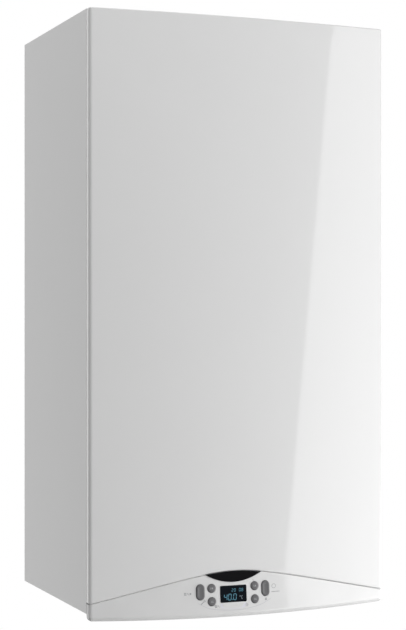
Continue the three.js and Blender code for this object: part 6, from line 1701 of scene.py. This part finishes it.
class BOILER_OT_fan_and_gas(bpy.types.Operator):
    """Screws round the fan, fins on its motor, and the gas valve's fittings"""

    bl_idname = "boiler.fan_and_gas"
    bl_label = "Fan and gas valve"

    def execute(self, context):
        x, z = FAN
        low, high = extent("fan_housing")
        parts = []
        for u, w in zip(*ring_of(6, 50.5, math.pi / 6)):
            parts.append((slotted_screw((x + u, low[1], z + w), "y", -1.0, 3.0, 1.9), "zinc screw"))
        parts.append((fins(37.5, 40.5, (-210.0, -176.0), "y", (x, z), detail().motor_fins), "cast aluminium"))
        plug = rounded_box((x - 9, x + 9), (z - 6, z + 6), 1.5)
        parts.append((extruded(plug, (high[1] - 0.5, high[1] + 7.0), "y"), "black plastic"))
        piece("fan_fittings", parts, "chassis", [])
        low, high = extent("gas_valve")
        front = low[1] + 35.0
        parts = []
        for side in (-1, 1):
            coil = (side * 16.0, (low[2] + high[2]) / 2)
            parts.append((pipe_ring(15.6, 13.0, (low[1] + 4, low[1] + 30), "y", coil, 0.8), "black plastic"))
            parts.append((hexagon(9.0, (low[1] - 2.6, low[1] + 0.4), "y", coil), "brass"))
            nipple = (side * 22.0, high[2] - 10.0)
            parts.append((rod(3.4, (front - 9.0, front + 0.5), "y", nipple, 0.8, 24), "brass"))
            parts.append((bolt((side * 26.0, front, low[2] + 8.0), "y", -1.0, 2.6, 2.4), "zinc screw"))
        piece("gas_valve_fittings", parts, "chassis", [])
        return {"FINISHED"}


class BOILER_OT_pipes(bpy.types.Operator):
    """Copper pipes with their union nuts, and the ribbed condensate hose"""

    bl_idname = "boiler.pipes"
    bl_label = "Pipes and hose"

    def execute(self, context):
        for node, radius in (("flow_pipe", 9.0), ("return_pipe", 9.0), ("gas_pipe", 7.5)):
            dress(node, "copper")
            low, high = extent(node)
            ends = self.ends(node, low, high, radius)
            nuts = [self.union_nut(place, radius, up) for place, up in ends]
            piece(node + "_nuts", [(nut, "brass") for nut in nuts], "chassis", [])
        low, high = extent("condensate_hose")
        start = (high[0] - 8.0, high[1] - 8.0, high[2])
        end = (low[0] + 8.0, low[1] + 8.0, low[2])
        rise = (high[2] - low[2]) * 0.26
        path = [start, (start[0], start[1], start[2] - rise), (end[0], end[1], end[2] + rise), end]
        hose = ribbed_hose(path, 8.0, 1.4, 4.2, 1.2)
        piece("ribbed_condensate_hose", [(hose, "rubber")], "chassis", ["condensate_hose"])
        return {"FINISHED"}

    def ends(self, node, low, high, radius):
        """The axis at a pipe's lower and upper end, from the node's own box."""
        if node == "flow_pipe":
            return [((low[0] + radius, high[1] - radius, low[2]), 1), ((-85.0, -80.0, high[2]), -1)]
        if node == "return_pipe":
            return [((high[0] - radius, low[1] + radius, low[2]), 1), ((85.0, -80.0, high[2]), -1)]
        return [((0.0, TAIL_Y, low[2]), 1), ((FAN[0], low[1] + radius, high[2]), -1)]

    def union_nut(self, place, radius, up):
        x, y, z = place
        span = sorted((z + up * 0.2, z + up * 12.0))
        bore = rod(radius + 0.05, (span[0] - 1, span[1] + 1), "z", (x, y), 0.05, 32)
        return carved(hexagon(radius * 2 + 7.0, span, "z", (x, y)), bore)


class BOILER_OT_waterways(bpy.types.Operator):
    """The plate heat exchanger, the pump's motor and vent, the spring clips and the knobs"""

    bl_idname = "boiler.waterways"
    bl_label = "Waterways"

    def execute(self, context):
        piece("plate_pack", plate_pack(), "chassis", ["plate_heat_exchanger"], crease=30.0)
        x, z = PUMP
        low, high = extent("pump_motor")
        parts = [(fins(44.4, 46.8, (low[1] + 9, high[1] - 14), "y", (x, z), detail().motor_fins), "cast aluminium")]
        cap = turned(
            softened([(0, low[1] - 1.5), (36, low[1] - 1.5), (38.5, low[1] + 2), (0, low[1] + 2)], 1.0, 3),
            "y", (x, z), 64,
        )
        parts.append((cap, "black plastic"))
        parts.append((rod(9.0, (low[1] - 3.2, low[1] - 0.5), "y", (x, z), 0.6, 40), "zinc screw"))
        for u, w in zip(*ring_of(4, 40.0)):
            parts.append((bolt((x + u, -149.6, z + w), "y", -1.0, 2.6, 2.6, False), "zinc screw"))
        piece("pump_motor_fittings", parts, "chassis", [])
        clips = []
        for name in ("flow", "hot_water", "cold_water", "return"):
            centre = (TAILS[name], TAIL_Y)
            clips.append((pipe_ring(13.4, 9.2, (55.4, 58.6), "z", centre, 0.5, 40), "zinc screw"))
        piece("tail_clips", clips, "chassis", [])
        low, high = extent("safety_valve_knob")
        centre = ((low[0] + high[0]) / 2, (low[2] + high[2]) / 2)
        red = fluted((high[0] - low[0]) / 2, (low[1], high[1]), "y", centre, 12, 1.6)
        piece("safety_knob", [(red, "red plastic")], "safety_valve_knob", ["safety_valve_knob"])
        low, high = extent("filling_tap_knob")
        centre = ((low[0] + high[0]) / 2, (low[1] + high[1]) / 2)
        foot, top = low[2], high[2]
        skirt = fluted((high[0] - low[0]) / 2, (foot, foot + 20.0), "z", centre, 10, 1.8)
        stem = rod(6.0, (foot + 19.0, top), "z", centre, 0.8, 40)
        piece(
            "filling_knob", [(skirt, "blue plastic"), (stem, "blue plastic")], "filling_tap_knob",
            ["filling_tap_knob"],
        )
        return {"FINISHED"}


class BOILER_OT_vessel_and_trap(bpy.types.Operator):
    """The expansion vessel with its crimped rim, and the condensate trap"""

    bl_idname = "boiler.vessel_and_trap"
    bl_label = "Vessel and trap"

    def execute(self, context):
        stub = rod(7.0, (454.0, 470.0), "z", (-161.0, -180.0), 0.6, 32)
        crimp = pipe_ring(118.0, 113.6, (-3.2, 3.2), "x", (-150.0, 580.0), 1.0, 96).moved(x=-161.0)
        parts = [(vessel_shell(), "red paint"), (stub, "brass"), (crimp, "galvanised")]
        piece("vessel_dishes", parts, "chassis", ["expansion_vessel"], crease=40.0)
        ribs = [pipe_ring(28.8, 27.6, (h, h + 2.0), "z", (-95.0, -215.0), 0.5, 64) for h in (262, 284, 306)]
        parts = [(trap_shell(), "clear grey plastic")] + [(rib, "clear grey plastic") for rib in ribs]
        parts.append((rod(9.5, (246.0, 262.0), "z", (-95.0, -215.0), 3.0, 32), "white plastic"))
        piece("trap_body", parts, "chassis", ["condensate_trap"], crease=30.0)
        return {"FINISHED"}


class BOILER_OT_electrics(bpy.types.Operator):
    """Lid screws and cooling slots of the control box, the diverter's plug, the collar's screws"""

    bl_idname = "boiler.electrics"
    bl_label = "Electrics and small parts"

    def execute(self, context):
        low, high = extent("main_board_lid")
        parts = []
        for x in (low[0] + 8, high[0] - 8):
            for z in (low[2] + 8, high[2] - 8):
                parts.append((slotted_screw((x, low[1], z), "y", -1.0, 2.8, 1.6), "zinc screw"))
        for k in range(7):
            rib = rounded_box((-100.0, 100.0), (84.0 + 11.0 * k, 87.0 + 11.0 * k), 1.4)
            parts.append((extruded(rib, (low[1] - 0.9, low[1] + 0.3), "y"), "black plastic"))
        piece("lid_fittings", parts, "chassis", [], bevel=0.25)
        low, high = extent("diverter_motor")
        middle = (low[0] + high[0]) / 2
        plug = rounded_box((middle - 8.0, middle + 8.0), (high[2] - 20.0, high[2] - 8.0), 1.5)
        parts = [(extruded(plug, (low[1] - 7.0, low[1] + 0.5), "y"), "grey plastic")]
        piece("diverter_plug", parts, "chassis", [], bevel=0.5)
        parts = []
        for u, v in zip(*ring_of(4, 56.5)):
            parts.append((slotted_screw((u, v - 120.0, 747.5), "z", 1.0, 2.8, 1.7), "zinc screw"))
        piece("collar_screws", parts, "chassis", [])
        return {"FINISHED"}


CLASSES = [
    BoilerLook,
    BoilerStage,
    BoilerDetail,
    BOILER_OT_stage,
    BOILER_OT_front_panel,
    BOILER_OT_side_panels,
    BOILER_OT_fascia,
    BOILER_OT_display,
    BOILER_OT_keys,
    BOILER_OT_printed_symbols,
    BOILER_OT_carried_over,
    BOILER_OT_tails,
    BOILER_OT_gauge_and_gland,
    BOILER_OT_burner,
    BOILER_OT_fan_and_gas,
    BOILER_OT_pipes,
    BOILER_OT_waterways,
    BOILER_OT_vessel_and_trap,
    BOILER_OT_electrics,
]


class BOILER_PT_panel(bpy.types.Panel):
    """Every step of dressing the boiler, in the order that they run"""

    bl_idname = "BOILER_PT_panel"
    bl_label = "Combi boiler"
    bl_space_type = "VIEW_3D"
    bl_region_type = "UI"
    bl_category = "Boiler"

    def draw(self, context):
        for step in STEPS:
            self.layout.operator(step.bl_idname)
        for group in (look(), stage(), detail()):
            box = self.layout.box()
            for name in group.bl_rna.properties.keys():
                if name not in ("rna_type", "name"):
                    box.prop(group, name)


STEPS = [thing for thing in CLASSES if issubclass(thing, bpy.types.Operator)]
CLASSES.append(BOILER_PT_panel)


def register():
    for thing in CLASSES:
        bpy.utils.register_class(thing)
    bpy.types.Scene.boiler_look = PointerProperty(type=BoilerLook)
    bpy.types.Scene.boiler_stage = PointerProperty(type=BoilerStage)
    bpy.types.Scene.boiler_detail = PointerProperty(type=BoilerDetail)


def unregister():
    del bpy.types.Scene.boiler_detail
    del bpy.types.Scene.boiler_stage
    del bpy.types.Scene.boiler_look
    for thing in reversed(CLASSES):
        bpy.utils.unregister_class(thing)


def main():
    register()
    for step in STEPS:
        group, name = step.bl_idname.split(".")
        getattr(getattr(bpy.ops, group), name)()


if __name__ == "__main__":
    main()
